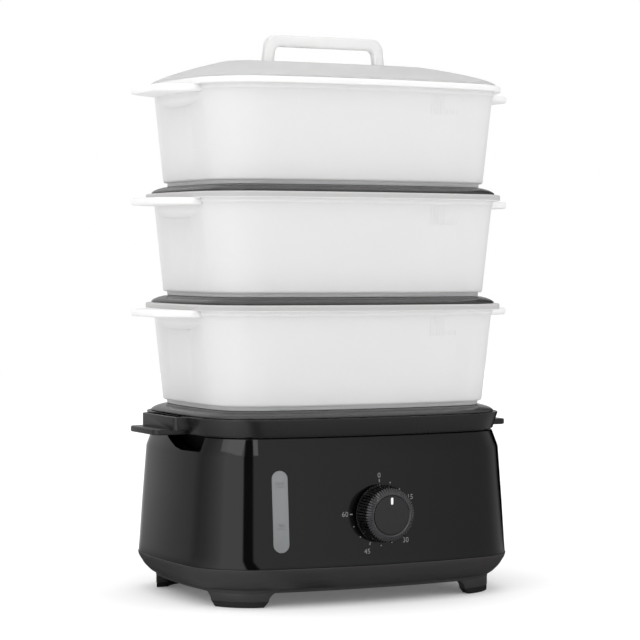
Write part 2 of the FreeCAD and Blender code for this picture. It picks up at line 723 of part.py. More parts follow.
def basket(tier):
    rim = rim_height(tier)
    foot = SEAT_RISE + REST_GAP - TIER_PITCH
    wall = band(lifted([
        (BASKET_RIM_INSET + 0.7, 0), (BASKET_RIM_INSET, -0.9), (BASKET_RIM_INSET, -3.5),
        (BASKET_RIM_INSET + 0.7, -4.4), (10.6, -4.4), (10.6, -6.8), (11.6, -7.6), (18.3, foot + 4.0),
        (19.1, foot + 2.9), (LIP_INSET, foot + 2.9), (LIP_INSET, foot), (23.3, foot), (23.3, foot + 3.4),
        (20.9, foot + 5.6), (13.5, 0),
    ], rim))
    tabs = both_ends(tab_blank(rim - 9.2, rim - 4.0, 12.6))
    gusset = band(lifted([(13.2, -9.0), (8.6, -9.0), (9.3, -14.0), (12.7, -18.6), (14.0, -18.6)], rim))
    sides = GUSSET_PLAN + [(x, -y) for x, y in reversed(GUSSET_PLAN)]
    room = prism(sides, "z", 0, 500)
    gussets = [gusset.common(end) for end in both_ends(room)]
    return wall.multiFuse(tabs + gussets).removeSplitter()


# ---- lid ----

def blend_plan(share):
    """Plan between the lid's edge and its flat top."""
    edge = [value - LID_INSET for value in BASE_PLAN]
    return tuple(a + (b - a) * share for a, b in zip(edge, PLATEAU_PLAN))


def lid_dome(drop, shrink):
    """Filled dome of the lid: steep at its edge, flat on top; drop and shrink make its inside."""
    edge_z = rim_height(3) + LID_EDGE_RISE
    rise = PLATEAU_Z - edge_z
    shares = (0.0, 0.04, 0.12, 0.25, 0.42, 0.62, 0.82, 1.0)
    wires = []
    for share in shares:
        z = edge_z + rise * share ** 0.72 - drop
        wires.append(outline(shrink, z, blend_plan(share)))
    layers = [Part.makeLoft([low, high], True, True) for low, high in zip(wires, wires[1:])]
    return layers[0].multiFuse(layers[1:])


def lid():
    rim = rim_height(3)
    dome = lid_dome(0, 0).cut(lid_dome(LID_WALL, 0.6))
    edge = band(lifted([
        (LID_INSET, REST_GAP), (LID_INSET, LID_EDGE_RISE), (LID_INSET + 3.0, 2.2), (17.4, 2.2), (17.4, -14.0),
        (15.8, -14.0), (15.8, REST_GAP),
    ], rim))
    cover = dome.fuse(edge)
    vents = [box((side * 62 - 1.5, y - 5, 370), (side * 62 + 1.5, y + 5, 400)) for side in (-1, 1)
             for y in (-13, 0, 13)]
    sockets = [disc(PEG_RADIUS + 0.1, 370, 400, side * (HANDLE_HALF_LENGTH - HANDLE_LEG / 2))
               for side in (-1, 1)]
    return cover.cut(vents[0].multiFuse(vents[1:] + sockets)).removeSplitter()


def arch(half_length, low, high, depth):
    """Block for one side of the handle's arch: its ends lean in towards the top."""
    lean = HANDLE_LEAN / (TOTAL_HEIGHT - PLATEAU_Z)
    foot, top = half_length - lean * (low - PLATEAU_Z), half_length - lean * (high - PLATEAU_Z)
    return prism([(-foot, low), (foot, low), (top, high), (-top, high)], "y", -depth / 2, depth)


def lid_handle():
    """Arch along X that stands on the flat top, with a peg down into the lid at each end."""
    span = HANDLE_HALF_LENGTH - HANDLE_LEG
    outer = arch(HANDLE_HALF_LENGTH, PLATEAU_Z, TOTAL_HEIGHT, HANDLE_DEPTH)
    inner = arch(span, PLATEAU_Z - 1, TOTAL_HEIGHT - HANDLE_BAR, FAR)
    handle = round_edges(outer, HANDLE_CORNER, across_top).cut(
        round_edges(inner, HANDLE_INNER_CORNER, across_top))
    pegs = [disc(PEG_RADIUS, PLATEAU_Z - LID_WALL - 1, PLATEAU_Z, side * (span + HANDLE_LEG / 2))
            for side in (-1, 1)]
    return handle.multiFuse(pegs).removeSplitter()


def across_top(middle, edge):
    """True for the top edges that run along Y."""
    level = abs(edge.tangentAt(edge.FirstParameter).y) > 0.99
    return level and middle.z > PLATEAU_Z + 1


# ---- nodes ----

def nodes():
    """Every node's name with the function that makes it."""
    makers = [
        bottom_cover, foot_pads, cover_screws, base_shell, dial_scale, reservoir, level_window,
        window_gasket, level_marks, heater_plate, heater_tube, heater_seal, heater_clamp, clamp_screws,
        thermostat, thermal_fuse, steam_ring, terminal_block, lead_line, lead_timer, lead_neutral,
        cord_gland, timer_frame, timer_screws, timer_case, timer_bell, timer_shaft, timer_knob,
        knob_cap, knob_pointer, drip_tray, lid, lid_handle,
    ]
    made = {maker.__name__: maker for maker in makers}
    for tier in (1, 2, 3):
        made[f"floor_tray_{tier}"] = lambda tier=tier: floor_tray(tier)
        made[f"basket_{tier}"] = lambda tier=tier: basket(tier)
    return made


def main():
    os.makedirs("parts", exist_ok=True)
    for name, make in nodes().items():
        shape = make()
        shape.translate(Vector(0, CENTRE_SHIFT, 0))
        shape.exportStep(f"parts/{name}.step")


main()
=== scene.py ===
import math

import bmesh
import bpy
from mathutils import Matrix, Vector


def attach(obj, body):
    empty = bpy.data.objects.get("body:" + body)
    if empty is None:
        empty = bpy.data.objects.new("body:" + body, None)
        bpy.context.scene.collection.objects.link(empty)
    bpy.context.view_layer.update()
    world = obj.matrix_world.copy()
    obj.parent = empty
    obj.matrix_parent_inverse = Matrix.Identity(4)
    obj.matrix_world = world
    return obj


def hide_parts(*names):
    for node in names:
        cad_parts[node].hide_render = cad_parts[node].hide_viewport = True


# Electric food steamer: gloss base with a minute timer, drip tray, three frosted baskets, lid.
# Lengths are in millimetres and are turned to metres where a mesh is made. +X runs along the
# long side, -Y is the dial side, +Z is up and the worktop is at zero. Pieces are drawn round the
# middle of the plan, and dress() moves each to its place in the frame.

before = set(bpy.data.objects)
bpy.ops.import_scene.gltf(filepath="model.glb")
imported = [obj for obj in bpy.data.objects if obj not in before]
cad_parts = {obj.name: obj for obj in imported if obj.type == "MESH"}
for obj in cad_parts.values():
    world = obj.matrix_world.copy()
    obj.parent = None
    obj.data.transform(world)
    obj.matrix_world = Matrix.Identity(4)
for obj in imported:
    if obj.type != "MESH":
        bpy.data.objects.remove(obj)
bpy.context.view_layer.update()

MM = 0.001
TOUCHING = 2e-6           # metres: points no further apart than this are one
MIDDLE_Y = 7.4            # the plan's middle lies this far behind the origin
BASE_PLAN = (128.5, 95.0, 51.0, 530.0, 420.0)  # half length, half depth, corner, front bow, end bow

JOINT_Z = 28.0
MOUTH_Z = 118.0
TRAY_TOP = 131.2
TIER_PITCH = 79.2
SEAT_RISE = 5.0           # top of a floor tray above the rim it lies on
REST_GAP = 0.3            # between loose pieces that rest on each other
FAR = 200.0               # past every side, for tools that cut right through
ARC_STEPS = (14, 18, 10, 18)   # steps along the front, a corner, an end and the next corner

CREASE_Z, CREASE_ROUND = 106.0, 6.0
HOUSING = [                # inset, height
    (0.6, JOINT_Z), (1.2, 36.0), (3.2, 66.0), (6.2, CREASE_Z), (10.7, MOUTH_Z),
]
MOUTH_INSET = 16.0
WALL = 2.5
COVER_Z, FLOOR_TOP_Z, SKIRT_Z = 10.0, 12.3, 12.6
PAD_TOP = 4.0
FOOT_X, FOOT_Y = 78.5, 49.5
FOOT_WIDTH, FOOT_FLARE, PAD_SLANT = 8.0, 16.5, 3.6
SCREW_X, SCREW_Y = 56.0, 44.0
GLAND_X, GLAND_Z, GLAND_FACE = 60.0, 20.2, 93.6

WINDOW_X, WINDOW_Z = -74.8, 67.7
WINDOW_HALF_WIDTH, WINDOW_HALF_HEIGHT = 5.75, 28.4

KNOB_Z = 64.2
KNOB_BACK, KNOB_NOSE = -94.4, -109.8   # in front of the plan's middle
KNOB_RADIUS, NOSE_RADIUS, CAP_RADIUS = 20.5, 18.75, 13.8
KNOB_RIBS, RIB_STEPS = 60, 4   # ribs a little coarser than usual, so that each still shows
PANEL_FRONT, PANEL_DEPTH = -110, 50   # start and length of what passes through the dial's wall
SCALE_RADIUS = 22.7
DIGIT_RADII = {0: 26.3, 15: 26.6, 30: 28.2, 45: 28.6, 60: 27.4}
SWEEP, MINUTES = 270.0, 60

TAB_REACH, TAB_HALF_WIDTH, TAB_SHOULDER, TAB_CORNER = 143.5, 24.0, 120.5, 10.0
GUSSET_PLAN = (128.5, 95.0, 51.0, 530.0, 180.0)   # its tighter end bow sinks into the wall

LID_INSET = 9.0
LID_EDGE_RISE = 1.0
LID_WALL = 2.2
PLATEAU_PLAN = (80.0, 23.0, 18.0, 900.0, 260.0)
PLATEAU_Z, HANDLE_TOP = 384.3, 405.0
HANDLE_HALF, HANDLE_LEAN, HANDLE_LEG, HANDLE_BAR, HANDLE_DEPTH = 49.2, 2.2, 8.0, 8.4, 7.0
PEG_X = HANDLE_HALF - HANDLE_LEG / 2

SIGNS = ((-1, -1), (1, -1), (1, 1), (-1, 1))   # of the four corners of a rectangle, in order
FULL_ROUND = 0.999        # share of a half width that makes a round end without closing on itself


# ---------------- drawing and shaping

def mm(x, y, z):
    """A place or a distance given in millimetres."""
    return Vector((x, y, z)) * MM


def plan_arcs(plan):
    """Centre, radius and start and end angle in degrees of the eight arcs of a plan."""
    half_length, half_depth, corner, front, end = plan
    front_centre = Vector((0, front - half_depth))
    end_centre = Vector((half_length - end, 0))
    to_front, to_end = front - corner, end - corner
    line = end_centre - front_centre
    apart = line.length
    along = (to_front ** 2 - to_end ** 2 + apart ** 2) / (2 * apart)
    across = math.sqrt(to_front ** 2 - along ** 2)
    line.normalize()
    side = Vector((-line.y, line.x))
    foot = front_centre + line * along
    middle = max((foot + side * across, foot - side * across), key=lambda p: p.x - p.y)
    to_middle = middle - front_centre
    from_end = middle - end_centre
    turn_front = math.degrees(math.atan2(to_middle.x, -to_middle.y))
    turn_end = math.degrees(math.atan2(-from_end.y, from_end.x))
    half = [
        (front_centre, front, 270 - turn_front, 270 + turn_front),
        (middle, corner, 270 + turn_front, 360 - turn_end),
        (end_centre, end, -turn_end, turn_end),
        (Vector((middle.x, -middle.y)), corner, turn_end, 90 - turn_front),
    ]
    return half + [(-centre, radius, a + 180, b + 180) for centre, radius, a, b in half]


def on_plan(inset, z, plan=BASE_PLAN):
    """Where a plan's outline starts, offset inward by an inset."""
    centre, radius, start, _ = plan_arcs(plan)[0]
    angle = math.radians(start)
    reach = radius - inset
    return mm(centre.x + reach * math.cos(angle), centre.y + reach * math.sin(angle), z)


def begin(name, point):
    """A new piece, begun as a small face that is merged to one point."""
    if bpy.context.object and bpy.context.object.mode != "OBJECT":
        bpy.ops.object.mode_set(mode="OBJECT")
    bpy.ops.object.select_all(action="DESELECT")
    bpy.ops.mesh.primitive_plane_add(size=MM)
    piece = bpy.context.object
    piece.name = piece.data.name = name
    bpy.ops.object.mode_set(mode="EDIT")
    place_point(point)
    return piece


def place_point(point):
    """Turns the new face, which is all that is selected, into a point at its place."""
    bpy.ops.mesh.merge(type="CENTER")
    bpy.ops.transform.translate(value=point)


def draw(points):
    """Extrudes the selected point from place to place."""
    for here, there in zip(points, points[1:]):
        bpy.ops.mesh.extrude_region_move(TRANSFORM_OT_translate={"value": there - here})


def pick(test, mode="VERT"):
    """Selects the vertices or faces that pass a test, and nothing else."""
    bpy.ops.mesh.select_mode(type=mode)
    bpy.ops.mesh.select_all(action="DESELECT")
    work = bmesh.from_edit_mesh(bpy.context.object.data)
    for part in (work.verts if mode == "VERT" else work.faces):
        part.select = test(part)
    work.select_flush_mode()
    bmesh.update_edit_mesh(bpy.context.object.data)


def everything():
    bpy.ops.mesh.select_mode(type="VERT")
    bpy.ops.mesh.select_all(action="SELECT")


def weld():
    everything()
    bpy.ops.mesh.remove_doubles(threshold=TOUCHING)


def round_corners(points, radii):
    """Rounds the corners of a closed line, each to its own radius in millimetres."""
    for index, radius in enumerate(radii):
        if not radius:
            continue
        here = points[index]
        back = points[index - 1] - here
        ahead = points[(index + 1) % len(points)] - here
        turn = math.pi - back.angle(ahead)
        pick(lambda v: (v.co - here).length < TOUCHING)
        steps = max(2, round(math.degrees(turn) / 15))
        offset = radius * MM * math.tan(turn / 2)
        bpy.ops.mesh.bevel(affect="VERTICES", offset=offset, segments=steps)


def closed_line(name, section, place):
    """A new piece, begun as a closed line of (a, b, corner radius) corners, all of it selected."""
    points = [place(a, b) for a, b, _ in section]
    piece = begin(name, points[0])
    draw(points + points[:1])
    weld()
    round_corners(points, [radius for _, _, radius in section])
    everything()
    return piece


def go_round(plan=BASE_PLAN):
    """Carries what is selected once round a plan, arc by arc."""
    for index, (centre, _, start, end) in enumerate(plan_arcs(plan)):
        bpy.ops.mesh.spin(
            steps=ARC_STEPS[index % 4], angle=math.radians(start - end),
            center=mm(centre.x, centre.y, 0), axis=(0, 0, 1),
        )


def close_up(piece):
    """Welds the seams, turns the faces outward and leaves edit mode."""
    weld()
    bpy.ops.mesh.normals_make_consistent(inside=False)
    bpy.ops.object.mode_set(mode="OBJECT")
    return piece


def ring(name, section, plan=BASE_PLAN):
    """A wall that runs round the plan. Its section is a list of (inset, height, corner radius)."""
    piece = closed_line(name, section, lambda inset, z: on_plan(inset, z, plan))
    go_round(plan)
    return close_up(piece)


def loft(name, loops):
    """Solid through a stack of outlines, each an (inset, height, plan), no two at one height."""
    heights = [z * MM for _, z, _ in loops]
    for number, (inset, z, plan) in enumerate(loops):
        if number:
            bpy.ops.mesh.select_all(action="DESELECT")
            bpy.ops.mesh.primitive_plane_add(size=MM)
            place_point(on_plan(inset, z, plan))
        else:
            piece = begin(name, on_plan(inset, z, plan))
        go_round(plan)
    weld()
    for low, high in zip(heights, heights[1:]):
        pick(lambda v: min(abs(v.co.z - low), abs(v.co.z - high)) < TOUCHING)
        bpy.ops.mesh.bridge_edge_loops()
    for end in (heights[0], heights[-1]):
        pick(lambda v: abs(v.co.z - end) < TOUCHING)
        bpy.ops.mesh.edge_face_add()
    return close_up(piece)


def slab(name, inset, low, high, plan=BASE_PLAN):
    """Plate with the plan's outline."""
    piece = begin(name, on_plan(inset, low, plan))
    go_round(plan)
    weld()
    bpy.ops.mesh.edge_face_add()
    bpy.ops.mesh.extrude_region_move(TRANSFORM_OT_translate={"value": mm(0, 0, high - low)})
    return close_up(piece)


def plate(name, corners, axis, start, length):
    """Flat shape of (a, b, corner radius) corners across an axis, extruded along that axis."""
    place, way = {
        "x": (lambda a, b: mm(start, a, b), mm(length, 0, 0)),
        "y": (lambda a, b: mm(a, start, b), mm(0, length, 0)),
        "z": (lambda a, b: mm(a, b, start), mm(0, 0, length)),
    }[axis]
    piece = closed_line(name, corners, place)
    bpy.ops.mesh.edge_face_add()
    bpy.ops.mesh.extrude_region_move(TRANSFORM_OT_translate={"value": way})
    return close_up(piece)


def box_corners(a, b, half_a, half_b, radius):
    """Corners of a rectangle round a point, for plate()."""
    return [(a + sa * half_a, b + sb * half_b, radius) for sa, sb in SIGNS]


def turned(name, section, centre, axis, steps):
    """Round piece: a section of (radius, distance along the axis, corner radius), spun round."""
    along = {"y": Vector((0, 1, 0)), "z": Vector((0, 0, 1))}[axis]
    centre = Vector(centre)
    piece = closed_line(name, section, lambda r, d: (centre + Vector((r, 0, 0)) + along * d) * MM)
    bpy.ops.mesh.spin(steps=steps, angle=math.tau, center=centre * MM, axis=along)
    return close_up(piece)


def rod(name, radius, x, y, z, length, axis="y", steps=32):
    """Plain round bar from a point along an axis, to cut or join with."""
    section = [(0, 0, 0), (radius, 0, 0), (radius, length, 0), (0, length, 0)]
    return turned(name, section, (x, y, z), axis, steps)


def combine(piece, tool, how="DIFFERENCE"):
    """Cuts, joins (UNION) or trims (INTERSECT) a piece with another, which is used up."""
    step = piece.modifiers.new(how, "BOOLEAN")
    step.operation, step.object, step.solver = how, tool, "EXACT"
    bpy.context.view_layer.objects.active = piece
    bpy.ops.object.modifier_apply(modifier=step.name)
    bpy.data.objects.remove(tool)
    return piece


def only(piece):
    """Makes one piece the only one selected."""
    bpy.ops.object.select_all(action="DESELECT")
    piece.select_set(True)
    bpy.context.view_layer.objects.active = piece


def bevel_edges(piece, width, angle=50, segments=2):
    """Rounds every sharp edge of a finished shape."""
    step = piece.modifiers.new("edges", "BEVEL")
    step.width, step.segments = width * MM, segments
    step.limit_method, step.angle_limit = "ANGLE", math.radians(angle)
    only(piece)
    bpy.ops.object.modifier_apply(modifier=step.name)
    return piece


def smooth(piece, angle=32):
    only(piece)
    bpy.ops.object.shade_smooth_by_angle(angle=math.radians(angle))
    return piece


def twin(piece, name, move=(0, 0, 0), flip_x=False, flip_y=False):
    """Copy of a piece with its own mesh, mirrored across the plan's middle and moved."""
    copy = piece.copy()
    copy.data = piece.data.copy()
    copy.name = copy.data.name = name
    bpy.context.scene.collection.objects.link(copy)
    change = Matrix.Translation(mm(*move))
    if flip_x:
        change = change @ Matrix.Scale(-1, 4, (1, 0, 0))
    if flip_y:
        change = change @ Matrix.Scale(-1, 4, (0, 1, 0))
    copy.data.transform(change)
    if flip_x != flip_y:
        copy.data.flip_normals()
    return copy


def joined(name, pieces):
    """One piece made of several that don't cut into each other."""
    only(pieces[0])
    for piece in pieces:
        piece.select_set(True)
    bpy.ops.object.join()
    pieces[0].name = pieces[0].data.name = name
    return pieces[0]


def block(name, low, high):
    """Box between two corners: a square drawn on its floor and pulled up."""
    (x0, y0, z0), (x1, y1, z1) = low, high
    return plate(name, [(x0, y0, 0), (x1, y0, 0), (x1, y1, 0), (x0, y1, 0)], "z", z0, z1 - z0)


def dress(piece, material, body, slot, *nodes):
    """Moves a piece to its place and sets its material, body and the nodes it replaces; its slot is
    not used.
    """
    piece.data.transform(Matrix.Translation(mm(0, MIDDLE_Y, 0)))
    piece.data.materials.clear()
    piece.data.materials.append(material)
    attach(piece, body)
    if nodes:
        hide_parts(*nodes)
    return piece


def second_finish(piece, material, chosen):
    """Gives another material to the faces whose middle passes the test."""
    piece.data.materials.append(material)
    for face in piece.data.polygons:
        if chosen(face.center):
            face.material_index = len(piece.data.materials) - 1


# ---------------- materials

def tint(code):
    """Linear colour from an sRGB hex code."""
    values = [int(code[i:i + 2], 16) / 255 for i in (1, 3, 5)]
    return [v / 12.92 if v <= 0.04045 else ((v + 0.055) / 1.055) ** 2.4 for v in values] + [1.0]


def add(tree, kind, inputs=None, **settings):
    """Adds a shader node; an input is a value, or the output socket that feeds it."""
    made = tree.nodes.new("ShaderNode" + kind)
    for key, value in settings.items():
        setattr(made, key, value)
    for key, value in (inputs or {}).items():
        if isinstance(value, bpy.types.NodeSocket):
            tree.links.new(value, made.inputs[key])
        else:
            made.inputs[key].default_value = value
    return made


def blank_tree(owner):
    """The node tree of a material or world, emptied."""
    owner.use_nodes = True
    owner.node_tree.nodes.clear()
    return owner.node_tree


def finish(name, colour, roughness, grain_mm, depth_mm, drift=0.04, shade=0.05, flow_mm=45.0,
           stretch=(1, 1, 1), **shader):
    """A surface with a fine grain in relief, and colour and roughness that drift slowly over it.

    The grain may be stretched along an axis, as drawing, turning or brushing leaves it."""
    material = bpy.data.materials.new(name)
    tree = blank_tree(material)
    place = add(tree, "TexCoord").outputs["Object"]
    along = add(tree, "Mapping", {"Vector": place, "Scale": stretch})
    grain = add(tree, "TexNoise", {
        "Vector": along.outputs[0], "Scale": 1 / (grain_mm * MM), "Detail": 2.0,
    })
    flow = add(tree, "TexNoise", {"Vector": place, "Scale": 1 / (flow_mm * MM), "Detail": 3.0})
    rough = add(tree, "MapRange", {
        "Value": flow.outputs["Fac"], "From Min": 0.3, "From Max": 0.7,
        "To Min": max(roughness - drift, 0.02), "To Max": roughness + drift,
    })
    level = add(tree, "MapRange", {
        "Value": flow.outputs["Fac"], "From Min": 0.25, "From Max": 0.75,
        "To Min": 1 - shade, "To Max": 1.0,
    })
    base = add(tree, "VectorMath", {
        0: tint(colour)[:3], "Scale": level.outputs["Result"],
    }, operation="SCALE")
    bump = add(tree, "Bump", {
        "Height": grain.outputs["Fac"], "Strength": 1.0, "Distance": depth_mm * MM,
    })
    surface = add(tree, "BsdfPrincipled", {
        "Base Color": base.outputs["Vector"], "Roughness": rough.outputs["Result"],
        "Normal": bump.outputs["Normal"], **shader,
    })
    add(tree, "OutputMaterial", {"Surface": surface.outputs["BSDF"]})
    return material


# After the colour: roughness, size and depth of the grain in millimetres, drift of the roughness,
# shade, size of the flow in millimetres and stretch of the grain, then what the shader takes.
# ABS from a polished tool: a deep black that mirrors the studio, with the faintest orange peel.
abs_gloss_black = finish("abs_gloss_black_moulded", "#080808", 0.06, 2.5, 0.0006, 0.02, IOR=1.5)
# Polypropylene from a lightly etched tool: dark, with one soft wide highlight.
pp_satin_black = finish("pp_satin_black_moulded", "#353333", 0.4, 0.4, 0.004, 0.05, IOR=1.49)
# The same plastic from a smoother tool: the tray is a shade darker and glints along its edges.
pp_satin_tray = finish("pp_satin_tray_moulded", "#1d1d1d", 0.28, 0.4, 0.003, 0.04, IOR=1.49)
# Polypropylene from a polished tool: black, with a long soft sheen over the domed edge.
pp_gloss_tray = finish("pp_gloss_tray_moulded", "#3c3c3c", 0.2, 0.5, 0.001, 0.03, IOR=1.49)
# Unfilled polypropylene from a blasted tool: milky white, light soaks through, no sharp reflection.
MILKY = {
    "IOR": 1.49, "Transmission Weight": 0.12, "Subsurface Weight": 0.9,
    "Subsurface Radius": (1, 1, 1), "Subsurface Scale": 0.006,
}
pp_frosted = finish("pp_frosted_moulded", "#f4f3f3", 0.5, 0.35, 0.004, 0.04, 0.01, **MILKY)
# Painted shade: a greyer copy of the frosted plastic for the rims of the two lower baskets, in
# place of the black floor tray that stands inside each rim and darkens it. It stays grey when the
# tray is lifted.
pp_rim_painted_shade = finish("pp_frosted_rim_painted_shade", "#c6c5c5", 0.5, 0.35, 0.004, 0.04, 0.01, **{
    **MILKY, "Subsurface Scale": 0.003,
})
# The lid and its handle are thinner, so a little more light comes through.
pp_frosted_lid = finish("pp_frosted_lid_moulded", "#f7f7f6", 0.42, 0.35, 0.003, 0.04, 0.01, **{
    **MILKY, "Transmission Weight": 0.4,
})
# Grey polystyrene pane: smooth and even, a little see-through at its edges.
styrene_grey = finish("styrene_grey_moulded", "#7b7d7f", 0.2, 0.8, 0.0006, 0.03, 0.02, IOR=1.59)
# Silicone ink stamped by a pad: a thin matt film with slightly uneven cover.
pad_print_grey = finish("pad_print_pale_grey", "#838384", 0.6, 0.25, 0.001, 0.05, 0.12, 3.0)
# The same ink, mixed darker for the window.
pad_print_dim = finish("pad_print_mid_grey", "#77797b", 0.55, 0.25, 0.001, 0.05, 0.12, 3.0)
# White ABS insert: clean and half matt.
abs_white = finish("abs_white_moulded", "#f0f0f0", 0.35, 0.4, 0.001, 0.04, 0.03, IOR=1.5)
# ABS cap with a spark-etched face: soft, nearly black.
abs_satin_cap = finish("abs_satin_cap_moulded", "#212123", 0.36, 0.4, 0.004, 0.04, IOR=1.5)
# ABS grip: deep gloss black in the grooves and on the flanks of its ribs.
abs_grip_black = finish("abs_grip_black_moulded", "#0c0c0c", 0.14, 0.6, 0.0008, 0.03, IOR=1.5)
# Painted highlight on the crests of the ribs: fine lines a little lighter than the grooves, in
# place of the glints that the crests catch.
abs_crest_painted_glint = finish("abs_crest_painted_glint_black", "#1c1c1d", 0.12, 0.6, 0.0008, 0.03, IOR=1.5)
# The grip's bevel: a polished ring round the cap, painted a lighter grey than the grip as a painted
# highlight.
abs_bevel_painted_highlight = finish("abs_bevel_painted_highlight", "#3a3a3c", 0.08, 0.6, 0.0008, 0.03, IOR=1.5)
# Moulded rubber: dead black with a fine dry grain.
rubber_black = finish("rubber_black_moulded", "#161515", 0.72, 0.5, 0.01, 0.06, IOR=1.52)
# Silicone: milky, rubbery and a little greasy in its shine.
silicone_clear = finish("silicone_moulded", "#c9c4bb", 0.38, 0.6, 0.004, 0.05, **{
    "Transmission Weight": 0.3,
})
# Polypropylene tub, and the well of the tray that hangs in it: painted shade, a dead black with
# little reflection, in place of the shade inside the housing behind the scoop.
pp_tub_painted_shade = finish("pp_tub_painted_shade_black", "#0c0c0c", 0.6, 0.5, 0.005, 0.06, 0.08, **{
    "Specular IOR Level": 0.1,
})
# The lining of the scoop: painted shade, a dead black that hardly reflects, in place of the shade
# inside the scoop.
abs_scoop_painted_shade = finish("abs_scoop_painted_shade_black", "#060606", 0.62, 0.5, 0.005, 0.05, **{
    "Specular IOR Level": 0.08,
})
# Natural polypropylene sleeve: pale and waxy.
pp_natural = finish("pp_natural_moulded", "#c6c5c0", 0.42, 0.5, 0.004, 0.05, **{
    "Transmission Weight": 0.15,
})
# Cast aluminium, turned on its face: pale metal with fine rings of grain.
aluminium_turned = finish("aluminium_cast_turned", "#cfcfcd", 0.34, 0.6, 0.006, 0.07, 0.06, 12.0,
                          (1, 1, 6), Metallic=1.0)
# Zinc-plated steel: cool bright grey with a spangle.
steel_zinc = finish("steel_zinc_plated", "#c4c6c4", 0.3, 1.2, 0.003, 0.09, 0.12, 6.0, Metallic=1.0)
# Stainless sheath of a heating element: straw and brown where it has been hot.
steel_heated = finish("steel_sheath_heat_stained", "#8d8378", 0.38, 0.5, 0.003, 0.08, 0.3, 9.0,
                      Metallic=1.0)
# Nickel plating over pressed steel: a near mirror.
nickel_bell = finish("steel_nickel_plated", "#d6d4ce", 0.1, 1.5, 0.0008, 0.03, 0.05, 14.0,
                     Metallic=1.0)
# Ground steel: fine lines round the shaft.
steel_ground = finish("steel_ground", "#c9c9c7", 0.22, 0.5, 0.002, 0.04, 0.06, 8.0, (1, 8, 1),
                      Metallic=1.0)
# Phenolic: very dark brown, hard and half glossy, with a mineral speck.
phenolic_brown = finish("phenolic_moulded", "#2e2420", 0.36, 0.7, 0.003, 0.06, 0.25, 2.0)
# Glass-fibre sleeve over the fuse: off-white with a woven roughness.
fibre_sleeve = finish("glass_fibre_sleeve", "#d9d4c8", 0.65, 0.6, 0.02, 0.06, 0.1, 5.0, (1, 4, 1))
# Nylon: warm natural cream, slightly translucent.
nylon_natural = finish("nylon_natural_moulded", "#cfc6a8", 0.4, 0.5, 0.004, 0.05, **{
    "Transmission Weight": 0.1,
})
# Acetal: cool cream and slippery.
acetal_natural = finish("acetal_natural_moulded", "#bdbab0", 0.3, 0.5, 0.002, 0.04)
# Silicone-insulated leads in the three usual colours, with the slight pull marks of extrusion.
lead_brown = finish("lead_insulation_brown", "#5b3620", 0.45, 0.5, 0.003, 0.05, 0.08, 12.0)
lead_black = finish("lead_insulation_black", "#1b1b1b", 0.45, 0.5, 0.003, 0.05, 0.08, 12.0)
lead_blue = finish("lead_insulation_blue", "#294d8e", 0.45, 0.5, 0.003, 0.05, 0.08, 12.0)


# ---------------- camera

CAMERA_PLACE = (-787.261, -1576.085 + MIDDLE_Y, 245.551)
YAW, FALL, ROLL = 0.4622304, 0.0272252, 0.003347
FOCAL_PIXELS, PICTURE_WIDTH = 2394.69, 640


def aim_camera():
    level = math.cos(FALL)
    forward = Vector((math.sin(YAW) * level, math.cos(YAW) * level, -math.sin(FALL)))
    right = Vector((math.cos(YAW), -math.sin(YAW), 0))
    up = right.cross(forward)
    tilted_right = right * math.cos(ROLL) + up * math.sin(ROLL)
    tilted_up = up * math.cos(ROLL) - right * math.sin(ROLL)
    data = bpy.data.cameras.new("camera")
    data.sensor_width = 36.0
    data.lens = FOCAL_PIXELS / PICTURE_WIDTH * data.sensor_width
    data.clip_start, data.clip_end = 0.05, 50.0
    camera = bpy.data.objects.new("camera", data)
    bpy.context.scene.collection.objects.link(camera)
    turn = Matrix((tilted_right, tilted_up, -forward)).transposed().to_4x4()
    camera.matrix_world = Matrix.Translation(mm(*CAMERA_PLACE)) @ turn
    bpy.context.scene.camera = camera


# ---------------- housing

SCOOP = [                  # outline across X, as (Y, height)
    (-47.4, 108.0), (-20.0, 107.3), (-8.6, 109.0), (3.0, 112.4), (10.3, 114.9), (18.0, 119.0),
    (18.0, 125.0), (-47.4, 125.0),
]
SCOOP_X = -100.0           # how far in from the left end the scoop reaches
CAPITAL = 0.7              # height of a capital letter as a share of the font's size


def window_shape(name, grow):
    """Upright slot with round ends, extruded along Y."""
    half_width, half_height = WINDOW_HALF_WIDTH + grow, WINDOW_HALF_HEIGHT + grow
    corners = box_corners(WINDOW_X, WINDOW_Z, half_width, half_height, half_width * FULL_ROUND)
    return plate(name, corners, "y", -FAR, FAR)


def housing_line(offset):
    """The housing's outer line in section, offset inward."""
    return [(inset + offset, z, CREASE_ROUND if z == CREASE_Z else 0) for inset, z in HOUSING]


def skin(name, outer, inner):
    """Layer that follows the housing's wall between two offsets."""
    return ring(name, housing_line(outer) + housing_line(inner)[::-1])


def make_housing():
    outside = housing_line(0)[1:-1]
    inside = [(inset + WALL, z, 0) for inset, z in reversed(HOUSING[1:-1])]
    foot_inset, mouth_inset = HOUSING[0][0], HOUSING[-1][0]
    shell = ring("housing_shell", [
        (foot_inset + WALL, JOINT_Z, 0), (foot_inset, JOINT_Z, 0.3), *outside,
        (mouth_inset, MOUTH_Z, 1.2), (MOUTH_INSET, MOUTH_Z, 0.6), (MOUTH_INSET, MOUTH_Z - 2, 0),
        (mouth_inset + 1.9, MOUTH_Z - 2, 0), *inside,
    ])
    soft = [(y, z, 1.0 if z < MOUTH_Z else 0) for y, z in SCOOP]
    scoop = plate("scoop_tool", soft, "x", -FAR, FAR + SCOOP_X)
    combine(shell, window_shape("window_tool", 0.2))
    combine(shell, rod("shaft_tool", 5.0, 0, PANEL_FRONT, KNOB_Z, PANEL_DEPTH))
    combine(shell, scoop)
    return smooth(shell)


